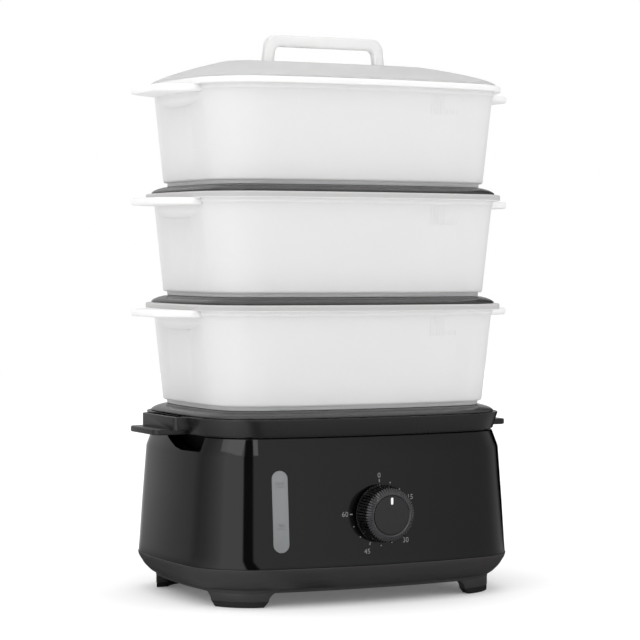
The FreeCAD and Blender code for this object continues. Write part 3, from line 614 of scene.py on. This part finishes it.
def make_chute():
    """Lining of the scoop, from the opening in the wall back to the tub."""
    thick = 2.0
    middle_y, middle_z, reach_y, reach_z = -15.0, 116.0, 32.0, 9.0
    grown = [
        (y + thick * (y - middle_y) / reach_y, z + thick * (z - middle_z) / reach_z, 0)
        for y, z in SCOOP
    ]
    chute = plate("scoop_chute", grown, "x", -FAR, FAR + SCOOP_X)
    way = [(y, z, 0) for y, z in SCOOP]
    combine(chute, plate("scoop_way", way, "x", -FAR - 1, FAR + SCOOP_X + 2))
    loops = [(inset + WALL - 0.5, z, BASE_PLAN) for inset, z in HOUSING]
    combine(chute, loft("housing_room", loops), "INTERSECT")
    combine(chute, slab("tub_room", 13.4, 60, 130))
    return smooth(chute)


def make_window():
    pane = skin("sight_window", 0.15, 3.4)
    combine(pane, window_shape("window_trim", 0.0), "INTERSECT")
    bevel_edges(pane, 0.35, 60)
    return smooth(pane, 40)


def lettering(name, words, height, x, z):
    """Words as a block that faces the dial side and reaches through the wall."""
    bpy.ops.object.select_all(action="DESELECT")
    bpy.ops.object.text_add()
    text = bpy.context.object
    text.data.body, text.data.size = words, height * MM / CAPITAL
    text.data.align_x, text.data.align_y = "CENTER", "CENTER"
    text.data.extrude, text.data.resolution_u = 30 * MM, 3
    bpy.ops.object.convert(target="MESH")
    block_of_text = bpy.context.object
    block_of_text.name = block_of_text.data.name = name
    upright = Matrix.Rotation(math.radians(90), 4, "X")
    block_of_text.data.transform(Matrix.Translation(mm(x, -88, z)) @ upright)
    bpy.ops.object.mode_set(mode="EDIT")
    return close_up(block_of_text)


def printed(name, shapes, thickness):
    """What is printed on the housing's wall: a thin layer trimmed to the joined shapes."""
    layer = skin(name, -thickness, 0.02)
    return smooth(combine(layer, joined("print_shapes", shapes), "INTERSECT"), 40)


def on_dial(radius, minute):
    turn = math.radians(SWEEP * minute / MINUTES)
    return math.sin(turn) * radius, math.cos(turn) * radius + KNOB_Z


def make_scale():
    shapes = []
    for minute in range(0, MINUTES + 1, 5):
        x, z = on_dial(SCALE_RADIUS, minute)
        if minute % 15:
            shapes.append(rod(f"dot_{minute}", 0.5, x, PANEL_FRONT, z, PANEL_DEPTH, steps=14))
            continue
        turn = math.radians(SWEEP * minute / MINUTES)
        across = Vector((math.cos(turn), -math.sin(turn)))
        out = Vector((math.sin(turn), math.cos(turn)))
        tick = [Vector((x, z)) + across * 0.4 * a + out * 1.1 * b for a, b in SIGNS]
        corners = [(corner.x, corner.y, 0) for corner in tick]
        shapes.append(plate(f"tick_{minute}", corners, "y", PANEL_FRONT, PANEL_DEPTH))
        x, z = on_dial(DIGIT_RADII[minute], minute)
        shapes.append(lettering(f"digits_{minute}", str(minute), 3.5, x, z))
    return printed("minute_scale", shapes, 0.12)


def make_marks():
    shapes = []
    for words, z in (("MIN", 56.0), ("MAX", 85.0)):
        shapes.append(lettering(f"word_{words}", words, 2.0, WINDOW_X, z + 2.2))
        low, high = (WINDOW_X - 3.4, -FAR, z - 0.3), (WINDOW_X + 3.4, -40, z + 0.3)
        shapes.append(block(f"line_{words}", low, high))
    layer = skin("window_marks", 0.0, 0.17)
    return smooth(combine(layer, joined("mark_shapes", shapes), "INTERSECT"), 40)


def make_base():
    dress(make_housing(), abs_gloss_black, "base", "housing", "base_shell")
    # Painted shade: the scoop's lining is a dead black that hardly reflects.
    dress(make_chute(), abs_scoop_painted_shade, "base", "housing", "base_shell")
    dress(make_window(), styrene_grey, "base", "window", "level_window")
    dress(make_marks(), pad_print_dim, "base", "white_print", "level_marks")
    dress(make_scale(), pad_print_grey, "base", "white_print", "dial_scale")


# ---------------- bottom cover, feet and gland

def corner_tool(reach, side, axis):
    """Everything outside a foot's side outline, along X or along Y."""
    if axis == "y":
        return plate("foot_side", [(x, z, 0) for x, z in side(reach)], "y", -FAR, FAR)
    return plate("foot_side", [(-y, z, 0) for y, z in side(reach)], "x", 0, FAR)


def foot_side(reach):
    """Upright above the pad, then sweeping out under the skirt."""
    low, high = PAD_TOP, SKIRT_Z + 0.4
    curve = [
        (reach - FOOT_FLARE * (1 - math.cos(a)), low + (high - low) * math.sin(a))
        for a in (math.radians(d) for d in range(0, 91, 10))
    ]
    return [(reach, -1)] + curve + [(FAR, high), (FAR, -1)]


def pad_side(reach):
    """The end of a pad slants in towards the floor."""
    return [(reach + PAD_SLANT * 5 / 4, -1), (reach, PAD_TOP), (FAR, PAD_TOP), (FAR, -1)]


def corner_wall(name, inset, low, high, side):
    """Curved wall at the front right corner, trimmed at both ends."""
    inner = inset + FOOT_WIDTH
    wall = ring(name, [(inset, low, 0), (inset, high, 0), (inner, high, 0), (inner, low, 0)])
    combine(wall, corner_tool(FOOT_X, side, "y"), "INTERSECT")
    combine(wall, corner_tool(FOOT_Y, side, "x"), "INTERSECT")
    return wall


def four_corners(piece, name):
    """The piece and its mirror images at the other three corners, as one."""
    ways = [("front_left", True, False), ("back_right", False, True), ("back_left", True, True)]
    twins = [twin(piece, f"{name}_{where}", flip_x=x, flip_y=y) for where, x, y in ways]
    return joined(name, [piece] + twins)


def gland_room(name):
    low = (GLAND_X - 9, 74, SKIRT_Z - 0.6)
    return block(name, low, (GLAND_X + 9, GLAND_FACE, JOINT_Z - 0.2))


def make_cover():
    cover = ring("bottom_skirt", [
        (0.0, JOINT_Z, 0.5), (0.8, 25.0, 6), (4.8, 18.6, 9), (9.3, 14.2, 6), (11.8, SKIRT_Z, 0.6),
        (13.4, SKIRT_Z, 0.4), (13.4, COVER_Z, 0.4), (15.4, COVER_Z, 0), (15.4, 14.2, 0),
        (11.3, 16.2, 0), (6.6, 20.6, 0), (2.8, 25.6, 0), (2.0, JOINT_Z, 0),
    ])
    combine(cover, slab("cover_floor", 14.4, COVER_Z + 0.02, FLOOR_TOP_Z), "UNION")
    outlet = bevel_edges(gland_room("gland_box"), 0.8, 60)
    combine(outlet, slab("skirt_room", 12.4, 0, 60))
    combine(cover, outlet, "UNION")
    combine(cover, rod("gland_way", 6.6, GLAND_X, 60, GLAND_Z, 50, steps=40))
    for sx in (-1, 1):
        for sy in (-1, 1):
            combine(cover, rod("screw_way", 1.8, sx * SCREW_X, sy * SCREW_Y, 5, 12, "z", 20))
    return smooth(cover)


def make_gland():
    back = GLAND_FACE + 1.2
    gland = turned("cord_grommet", [
        (3.6, -14.0, 0.4), (6.5, -14.0, 0.5), (6.5, -1.3, 0.2), (7.6, -1.3, 0.3),
        (7.6, 0.0, 0.5), (3.6, 0.0, 0.8),
    ], (GLAND_X, back, GLAND_Z), "y", 48)
    return smooth(gland)


def make_screws():
    head = turned("cover_screw", [
        (0, 13, 0), (0.7, 12.4, 0), (1.2, 11.4, 0), (1.2, 0, 0), (3.2, 0, 0.3), (3.2, -1.2, 0.5),
        (2.2, -2.0, 0.3), (0, -2.0, 0),
    ], (SCREW_X, SCREW_Y, COVER_Z), "z", 28)
    for x, y in ((1.6, 0.35), (0.35, 1.6)):
        low = (SCREW_X - x, SCREW_Y - y, COVER_Z - 3)
        combine(head, block("driver_slot", low, (SCREW_X + x, SCREW_Y + y, COVER_Z - 0.9)))
    return four_corners(smooth(head), "cover_screw_set")


def make_bottom():
    dress(make_cover(), pp_satin_black, "base", "cover", "bottom_cover")
    foot = bevel_edges(corner_wall("foot", 13.6, PAD_TOP, COVER_Z + 1.5, foot_side), 0.4)
    dress(four_corners(smooth(foot), "feet"), pp_satin_black, "base", "cover", "bottom_cover")
    pad = bevel_edges(corner_wall("pad", 13.9, 0, PAD_TOP - 0.15, pad_side), 0.45)
    dress(four_corners(smooth(pad), "pads"), rubber_black, "base", "pad_rubber", "foot_pads")
    dress(make_screws(), steel_zinc, "base", "zinc_steel", "cover_screws")
    dress(make_gland(), rubber_black, "base", "gland_rubber", "cord_gland")


# ---------------- dial

def make_knob():
    """Tapered grip with a groove between each two ribs, a polished bevel and a hollow back."""
    deep = KNOB_NOSE - KNOB_BACK
    knob = turned("dial_grip", [
        (3.0, 0, 0), (6.0, 0, 0), (6.0, deep + 5, 0), (17.3, deep + 5, 0), (18.5, 0, 0),
        (20.1, 0, 0), (KNOB_RADIUS, -0.5, 0), (KNOB_RADIUS, -0.9, 0),
        (NOSE_RADIUS + 0.3, deep + 3.3, 0), (NOSE_RADIUS, deep + 2.8, 0.3),
        (CAP_RADIUS + 1.2, deep, 0.3), (CAP_RADIUS + 0.8, deep, 0.3), (CAP_RADIUS, deep + 0.9, 0),
        (CAP_RADIUS, deep + 1.6, 0), (3.0, deep + 1.6, 0),
    ], (0, KNOB_BACK, KNOB_Z), "y", KNOB_RIBS * RIB_STEPS)
    only(knob)
    bpy.ops.object.mode_set(mode="EDIT")
    axis = mm(0, 0, KNOB_Z)

    def in_a_groove(vertex):
        away = vertex.co - axis
        step = round(math.atan2(away.z, away.x) / math.tau * KNOB_RIBS * RIB_STEPS)
        on_side = (KNOB_NOSE + 2.4) * MM < vertex.co.y < (KNOB_BACK - 0.7) * MM
        return on_side and math.hypot(away.x, away.z) > 18.4 * MM and step % RIB_STEPS == 0

    pick(in_a_groove)
    bpy.ops.transform.resize(value=(0.93, 1, 0.93), center_override=axis)
    return smooth(close_up(knob), 20)


def make_dial():
    knob = dress(make_knob(), abs_grip_black, "dial", "knob", "timer_knob")
    bevel_end = KNOB_NOSE + MIDDLE_Y + 2.75
    taper, taper_length, crest_share = KNOB_RADIUS - NOSE_RADIUS - 0.3, 12.0, 0.985

    def on_a_crest(middle):
        across = math.hypot(middle.x, middle.z - KNOB_Z * MM)
        full = NOSE_RADIUS + 0.3 + taper * (middle.y / MM - bevel_end) / taper_length
        return across > crest_share * full * MM

    # Painted highlight: the crests of the ribs get the lighter black.
    second_finish(knob, abs_crest_painted_glint, on_a_crest)
    # Painted highlight: the bevel round the cap gets the lighter grey.
    second_finish(knob, abs_bevel_painted_highlight, lambda middle: middle.y < bevel_end * MM)
    face = turned("dial_cap", [
        (0, 1.6, 0), (CAP_RADIUS - 0.05, 1.6, 0), (CAP_RADIUS - 0.05, 0.4, 0.35),
        (CAP_RADIUS - 0.9, 0.25, 0.6), (0, 0.5, 0),
    ], (0, KNOB_NOSE, KNOB_Z), "y", 96)
    dress(smooth(face), abs_satin_cap, "dial", "knob_cap", "knob_cap")
    corners = box_corners(0, KNOB_Z + 10.0, 0.9, 2.5, 0.89)
    pointer = bevel_edges(plate("dial_pointer", corners, "y", KNOB_NOSE + 0.05, 0.6), 0.15, 60)
    dress(smooth(pointer), abs_white, "dial", "white_print", "knob_pointer")


# ---------------- drip tray

def end_tab(low, high, root_half, root_inset, soft_edge, corner=TAB_CORNER):
    """Finger tab at the right end, with round corners and a soft edge."""
    corners = [
        (100, -root_half + 3, 0), (TAB_SHOULDER, -root_half, 7),
        (TAB_REACH, -TAB_HALF_WIDTH, corner), (TAB_REACH, TAB_HALF_WIDTH, corner),
        (TAB_SHOULDER, root_half, 7), (100, root_half - 3, 0),
    ]
    tab = bevel_edges(plate("tab", corners, "z", low, high - low), soft_edge, segments=4)
    return combine(tab, slab("tab_root", root_inset, low - 5, high + 5))


def add_tabs(piece, right):
    """Joins the right end's tab and its mirror image to a piece."""
    for tab in (twin(right, "tab_left", flip_x=True), right):
        combine(piece, tab, "UNION")


def oval(name, half_length, half_depth, low, high):
    corners = box_corners(0, 0, half_length, half_depth, half_depth * FULL_ROUND)
    return plate(name, corners, "z", low, high - low)


def make_spout():
    """Pouring lip at the left end, open at the top, and the pocket that hollows it."""
    reach, half, wall, low = 131.0, 31.0, 1.8, 121.6
    lip = plate("spout", [
        (-112, -half, 0), (-reach, -half, 4), (-reach, half, 4), (-112, half, 0),
    ], "z", low, TRAY_TOP - low)
    bevel_edges(lip, 0.7)
    combine(lip, slab("spout_root", 10.3, 100, 150))
    pocket = plate("spout_pocket", [
        (-110, -half + wall, 0), (-reach + wall, -half + wall, 2.4),
        (-reach + wall, half - wall, 2.4), (-110, half - wall, 0),
    ], "z", low + wall, 40)
    rim_line = ((10.1, 119.2), (6.3, TRAY_TOP), (6.28, 170))
    combine(pocket, loft("rim_room", [(inset, z, BASE_PLAN) for inset, z in rim_line]))
    return lip, pocket


def make_tray():
    ledge, under, well_floor = 124.0, 122.0, 103.0
    tray = ring("drip_tray_body", [
        (6.3, TRAY_TOP, 0.7), (10.1, 119.2, 0.5), (12.0, 119.2, 0.3), (8.9, TRAY_TOP - 2, 0),
        (11.4, TRAY_TOP - 2, 0), (11.4, under, 0), (13.6, under, 0), (13.6, MOUTH_Z + REST_GAP, 0),
        (15.4, MOUTH_Z + REST_GAP, 0), (15.4, under, 0), (21.0, under, 0), (21.0, well_floor, 1.5),
        (23.0, well_floor, 0), (23.0, ledge, 0.8), (13.4, ledge, 0.5), (13.4, TRAY_TOP, 0.5),
    ])
    combine(tray, slab("tray_floor", 22.0, well_floor, well_floor + 2), "UNION")
    collar = bevel_edges(oval("steam_collar", 42, 19, well_floor + 0.1, well_floor + 12), 0.6)
    combine(tray, collar, "UNION")
    combine(tray, oval("steam_way", 40, 17, well_floor - 1, well_floor + 14))
    add_tabs(tray, end_tab(
        MOUTH_Z + 0.4, MOUTH_Z + 4.6, root_half=26.0, root_inset=10.6, soft_edge=1.0, corner=5.5,
    ))
    lip, pocket = make_spout()
    combine(tray, lip, "UNION")
    combine(tray, pocket)
    combine(tray, block("spout_way", (-130, -20, ledge), (-110.5, 20, TRAY_TOP - 2.2)))
    return smooth(tray)


# ---------------- tiers

def rim_of(tier):
    """Height of a tier's rim; tier 0 is the drip tray."""
    return TRAY_TOP + tier * TIER_PITCH


def lifted(section, z):
    """A section raised by a height."""
    return [(inset, rise + z, radius) for inset, rise, radius in section]


def make_floor():
    """Perforated floor of the lowest tier, with the domed edge that shows between two baskets."""
    edge = ring("floor_tray_body_1", lifted([
        (9.7, REST_GAP, 0.2), (9.7, 1.2, 0.6), (11.6, 2.6, 5), (14.8, 3.9, 8), (19.2, SEAT_RISE, 8),
        (23.9, SEAT_RISE, 0.6), (23.9, 8.6, 0.5), (25.5, 8.6, 0.5), (25.5, 2.4, 0.4),
        (16.6, 2.4, 0.5), (16.4, -5.5, 0.4), (14.8, -5.5, 0.4), (14.6, 1.8, 0),
        (12.2, REST_GAP, 0),
    ], rim_of(0)))
    combine(edge, slab("floor_plate", 25.0, rim_of(0) + 2.4, rim_of(0) + 4.4), "UNION")
    slots = []
    for row in range(-2, 3):
        reach = 3 if abs(row) == 2 else 4
        for column in range(-reach, reach + 1):
            corners = box_corners(20.0 * column, 24.0 * row, 1.75, 8.5, 1.7)
            slots.append(plate(f"slot_{row}_{column}", corners, "z", rim_of(0), 6))
    combine(edge, joined("slots", slots))
    return smooth(edge)


def comb(rim):
    """Upright bars across the wall, five long and four short, at front right and back left."""
    bars = []
    for number in range(9):
        high, x = (9.0 if number < 5 else 19.0), 45.6 + 2.75 * number
        bar = block("bar", (x, -FAR, rim - 22.5), (x + 0.9, -40, rim - high))
        bars += [twin(bar, "bar_behind", flip_x=True, flip_y=True), bar]
    return joined("comb", bars)


def add_ribs(basket, rim):
    """Thin ribs inside, which keep nested baskets from jamming, and their sink marks outside."""
    inside = ring("rib_band", [
        (13.8, rim - 5, 0), (18.6, rim - 40, 0), (19.9, rim - 40, 0), (15.0, rim - 8.5, 0.8),
    ])
    combine(basket, combine(inside, comb(rim), "INTERSECT"), "UNION")
    outside = ring("mark_band", [
        (10.8, rim - 8, 0), (12.7, rim - 26, 0), (13.87, rim - 26, 0), (11.95, rim - 8, 0),
    ])
    combine(basket, combine(outside, comb(rim), "INTERSECT"))


def make_basket():
    """The lowest basket: rolled rim, recess, leaning wall, lip, finger tabs with gussets, stops."""
    rim, foot = rim_of(1), SEAT_RISE + REST_GAP - TIER_PITCH
    basket = ring("basket_body_1", lifted([
        (5.5, 0, 1.1), (5.5, -4.4, 0.9), (10.6, -4.4, 0.5), (10.6, -7.0, 0.6), (11.7, -8.0, 0.8),
        (18.3, foot + 4.0, 1.6), (19.1, foot + 2.9, 0.4), (21.3, foot + 2.9, 0.4),
        (21.3, foot, 0.4), (23.3, foot, 0.4), (23.3, foot + 3.4, 1.5), (20.9, foot + 5.6, 3),
        (13.5, 0, 0.8),
    ], rim))
    right = end_tab(rim - 9.2, rim - 4.0, root_half=42.0, root_inset=12.2, soft_edge=1.9)
    gusset = ring("gusset", lifted([
        (13.2, -8.0, 0), (8.6, -8.0, 0), (9.3, -14.0, 4), (12.6, -18.6, 2), (14.6, -18.6, 0),
    ], rim), GUSSET_PLAN)
    combine(gusset, block("gusset_room", (90, -58, 0), (FAR, 58, 500)), "INTERSECT")
    combine(gusset, loft("inner_room", [(14.2, rim - 30, BASE_PLAN), (13.0, rim - 4, BASE_PLAN)]))
    add_tabs(basket, combine(right, gusset, "UNION"))
    add_ribs(basket, rim)
    return smooth(basket)


def make_tiers():
    floor, basket = make_floor(), make_basket()
    for tier in (3, 2, 1):
        lift = (0, 0, (tier - 1) * TIER_PITCH)
        this_floor = twin(floor, f"floor_tray_body_{tier}", lift) if tier > 1 else floor
        this_basket = twin(basket, f"basket_body_{tier}", lift) if tier > 1 else basket
        dress(this_floor, pp_gloss_tray, f"floor_tray_{tier}", "floor_tray", f"floor_tray_{tier}")
        dress(this_basket, pp_frosted, f"basket_{tier}", "frosted", f"basket_{tier}")
        # The rims of the two lower baskets get painted shade, the greyer copy of the frosted
        # plastic.
        if tier < 3:
            low, high = (rim_of(tier) - 3.9) * MM, (rim_of(tier) + 0.1) * MM
            second_finish(this_basket, pp_rim_painted_shade, lambda middle: low < middle.z < high)


# ---------------- lid

def blend_plan(share):
    """Plan between the lid's edge, at 0, and its flat top, at 1."""
    edge = [value - LID_INSET for value in BASE_PLAN]
    return tuple(a + (b - a) * share for a, b in zip(edge, PLATEAU_PLAN))


def dome(name, drop, shrink):
    """Filled dome of the lid: steep at its edge, flat on top."""
    edge_z = rim_of(3) + LID_EDGE_RISE
    steps = 20
    loops = []
    for step in range(steps + 1):
        share = (step / steps) ** 1.5
        z = edge_z + (PLATEAU_Z - edge_z) * share ** 0.72 - drop
        loops.append((shrink, z, blend_plan(share)))
    return loft(name, loops)


def make_lid():
    rim = rim_of(3)
    lid = bevel_edges(dome("lid_body", 0, 0), 1.2, 10, 3)
    combine(lid, dome("lid_hollow", LID_WALL, 0.6))
    edge = ring("lid_edge", lifted([
        (LID_INSET, REST_GAP, 0.3), (LID_INSET, LID_EDGE_RISE, 0.3), (LID_INSET + 3.0, 2.1, 0),
        (17.4, 2.1, 0), (17.4, -14.0, 0.5), (15.8, -14.0, 0.5), (15.8, REST_GAP, 0),
    ], rim))
    combine(lid, edge, "UNION")
    vents = []
    for side in (-1, 1):
        for y in (-13, 0, 13):
            corners = box_corners(side * 62, y, 1.5, 5, 1.45)
            vents.append(plate(f"vent_{side}_{y}", corners, "z", rim + 3, 30))
    combine(lid, joined("vents", vents))
    for side in (-1, 1):
        combine(lid, rod("peg_way", 2.1, side * PEG_X, 0, 375, 20, "z", 24))
    return smooth(lid, 20)


def make_handle():
    """Arch that leans in towards its top, round at its corners and soft at its edges."""
    sink = 3.0
    lean = HANDLE_LEAN / (HANDLE_TOP - PLATEAU_Z)
    span, bar = HANDLE_HALF - HANDLE_LEG, HANDLE_TOP - HANDLE_BAR

    def side(half, z):
        return half - lean * (z - PLATEAU_Z)

    low = PLATEAU_Z - sink
    right = [(side(HANDLE_HALF, low), low, 0), (side(HANDLE_HALF, HANDLE_TOP), HANDLE_TOP, 9.5)]
    inner = [(side(span, bar), bar, 4.5), (side(span, low), low, 0)]
    outline = right + [(-x, z, r) for x, z, r in reversed(right)]
    inside = [(-x, z, r) for x, z, r in reversed(inner)] + inner
    handle = plate("lid_handle_arch", outline + inside, "y", -HANDLE_DEPTH / 2, HANDLE_DEPTH)
    bevel_edges(handle, 1.5, segments=4)
    combine(handle, block("handle_foot", (-FAR, -FAR, 300), (FAR, FAR, PLATEAU_Z)))
    for end in (-1, 1):
        peg = rod("peg", 2.0, end * PEG_X, 0, PLATEAU_Z - LID_WALL - 1, 4.0, "z", 24)
        combine(handle, peg, "UNION")
    return smooth(handle)


def make_top():
    dress(make_lid(), pp_frosted_lid, "lid", "frosted_lid", "lid")
    dress(make_handle(), pp_frosted_lid, "lid", "handle", "lid_handle")


# ---------------- inner nodes that keep their shape

# The reservoir carries painted shade, the tub's dead black.
INNER_FINISHES = {
    "reservoir": pp_tub_painted_shade, "window_gasket": silicone_clear, "heater_plate": aluminium_turned,
    "heater_tube": steel_heated, "heater_seal": silicone_clear, "heater_clamp": steel_zinc,
    "clamp_screws": steel_zinc, "thermostat": phenolic_brown, "thermal_fuse": fibre_sleeve,
    "steam_ring": pp_natural, "terminal_block": nylon_natural, "lead_line": lead_brown,
    "lead_timer": lead_black, "lead_neutral": lead_blue, "timer_frame": steel_zinc,
    "timer_screws": steel_zinc, "timer_case": acetal_natural, "timer_bell": nickel_bell,
    "timer_shaft": steel_ground,
}


def finish_inner_nodes():
    for node, material in INNER_FINISHES.items():
        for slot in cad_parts[node].material_slots:
            slot.material = material


# ---------------- floor and light

def clear_rays(tree):
    """1 for a ray that comes from the camera, a reflection or through something clear, else 0."""
    path = add(tree, "LightPath").outputs
    seen = path["Is Camera Ray"]
    for kind in ("Is Glossy Ray", "Is Transmission Ray"):
        seen = add(tree, "Math", {0: seen, 1: path[kind]}, operation="MAXIMUM").outputs[0]
    return seen


def make_world(strength):
    world = bpy.data.worlds.new("studio")
    bpy.context.scene.world = world
    tree = blank_tree(world)
    level = add(tree, "MapRange", {"Value": clear_rays(tree), "To Min": strength, "To Max": 1.0})
    light = add(tree, "Background", {
        "Color": (1, 1, 1, 1), "Strength": level.outputs["Result"],
    })
    add(tree, "OutputWorld", {"Surface": light.outputs["Background"]})


def make_ground(glow_strength):
    bpy.ops.object.select_all(action="DESELECT")
    bpy.ops.mesh.primitive_plane_add(size=6.0)
    ground = bpy.context.object
    ground.name = "ground"
    material = bpy.data.materials.new("paper_sweep_white")
    tree = blank_tree(material)
    lift = add(tree, "Math", {0: clear_rays(tree), 1: glow_strength}, operation="MULTIPLY")
    matt = add(tree, "BsdfDiffuse", {"Color": (0.9, 0.9, 0.9, 1)})
    glow = add(tree, "Emission", {"Color": (1, 1, 1, 1), "Strength": lift.outputs[0]})
    both = add(tree, "AddShader", {0: matt.outputs[0], 1: glow.outputs[0]})
    add(tree, "OutputMaterial", {"Surface": both.outputs[0]})
    ground.data.materials.append(material)


TENT_RADIUS, TENT_HEIGHT = 2.4, 4.6   # metres, as for all of the light
LAMP_AIM = (0, 0, 0.2)


def softbox(name, place, width, height, watts):
    data = bpy.data.lights.new(name, "AREA")
    data.shape, data.size, data.size_y, data.energy = "RECTANGLE", width, height, watts
    lamp = bpy.data.objects.new(name, data)
    bpy.context.scene.collection.objects.link(lamp)
    lamp.location = place
    lamp.rotation_euler = (Vector(LAMP_AIM) - Vector(place)).to_track_quat("-Z", "Y").to_euler()


def make_tent():
    """Wall and floor of paper and black cloth round the table, which only reflections show."""
    levels = [
        (0, 0.34), (12, 0.34), (26, 0.0), (44, 0.0), (52, 0.5), (100, 0.6), (113, 0.42),
        (125, 0.33), (150, 0.3), (165, 0.45), (180, 0.7), (192, 0.95), (200, 1.2), (231, 1.2),
        (233, 0.02), (247, 0.02), (250, 0.62), (280, 0.6), (298, 0.52), (318, 0.38), (345, 0.3),
    ]                      # angle round the table in degrees, brightness
    brightest = max(level for _, level in levels)
    material = bpy.data.materials.new("tent_paper_and_cloth")
    tree = blank_tree(material)
    place = add(tree, "TexCoord").outputs["Object"]
    around = add(tree, "TexGradient", {"Vector": place}, gradient_type="RADIAL")
    ramp = add(tree, "ValToRGB", {"Fac": around.outputs["Fac"]})
    stops = ramp.color_ramp.elements
    stops.remove(stops[0])
    stops[0].color = [0.7 / brightest] * 3 + [1.0]
    for angle, level in levels:
        stops.new((angle / 360 + 0.5) % 1.0).color = [level / brightest] * 3 + [1.0]
    # Painted shadow: the floor's glow fades to a small share of its strength towards the middle,
    # where the steamer's shadow would fall on the table.
    away = add(tree, "VectorMath", {0: place}, operation="LENGTH")
    reach = add(tree, "MapRange", {
        "Value": away.outputs["Value"], "From Min": 0.1, "From Max": 0.42,
        "To Min": 0.15 * brightest, "To Max": brightest,
    })
    glow = add(tree, "Emission", {
        "Color": ramp.outputs["Color"], "Strength": reach.outputs["Result"],
    })
    add(tree, "OutputMaterial", {"Surface": glow.outputs[0]})
    bpy.ops.object.select_all(action="DESELECT")
    size = {"vertices": 96, "radius": TENT_RADIUS}
    bpy.ops.mesh.primitive_cylinder_add(depth=TENT_HEIGHT, end_fill_type="NOTHING", **size)
    wall = bpy.context.object
    bpy.ops.mesh.primitive_circle_add(fill_type="NGON", **size)
    cloth = bpy.context.object
    for piece, name, rise in ((wall, "tent_wall", TENT_HEIGHT / 2), (cloth, "tent_floor", 0.0004)):
        piece.name = piece.data.name = name
        piece.data.transform(Matrix.Translation((0, 0, rise)))
        piece.data.materials.append(material)
        piece.visible_camera = piece.visible_diffuse = False
        piece.visible_transmission = piece.visible_shadow = False


# ---------------- making it all

bpy.context.scene.view_settings.view_transform = "Standard"
aim_camera()
make_base()
make_bottom()
make_dial()
tray = dress(make_tray(), pp_satin_tray, "drip_tray", "tray", "drip_tray")
# Painted shade: the well, which hangs in the tub, gets the tub's dead black.
second_finish(tray, pp_tub_painted_shade, lambda middle: middle.z < (MOUTH_Z - 0.5) * MM)
make_tiers()
make_top()
finish_inner_nodes()
make_world(strength=1.18)
make_ground(glow_strength=0.12)
make_tent()
softbox("key_softbox", (-1.25, -0.6, 1.5), width=1.35, height=1.1, watts=4)
softbox("front_softbox", (-0.4, -1.33, 1.5), width=0.26, height=1.1, watts=1.3)
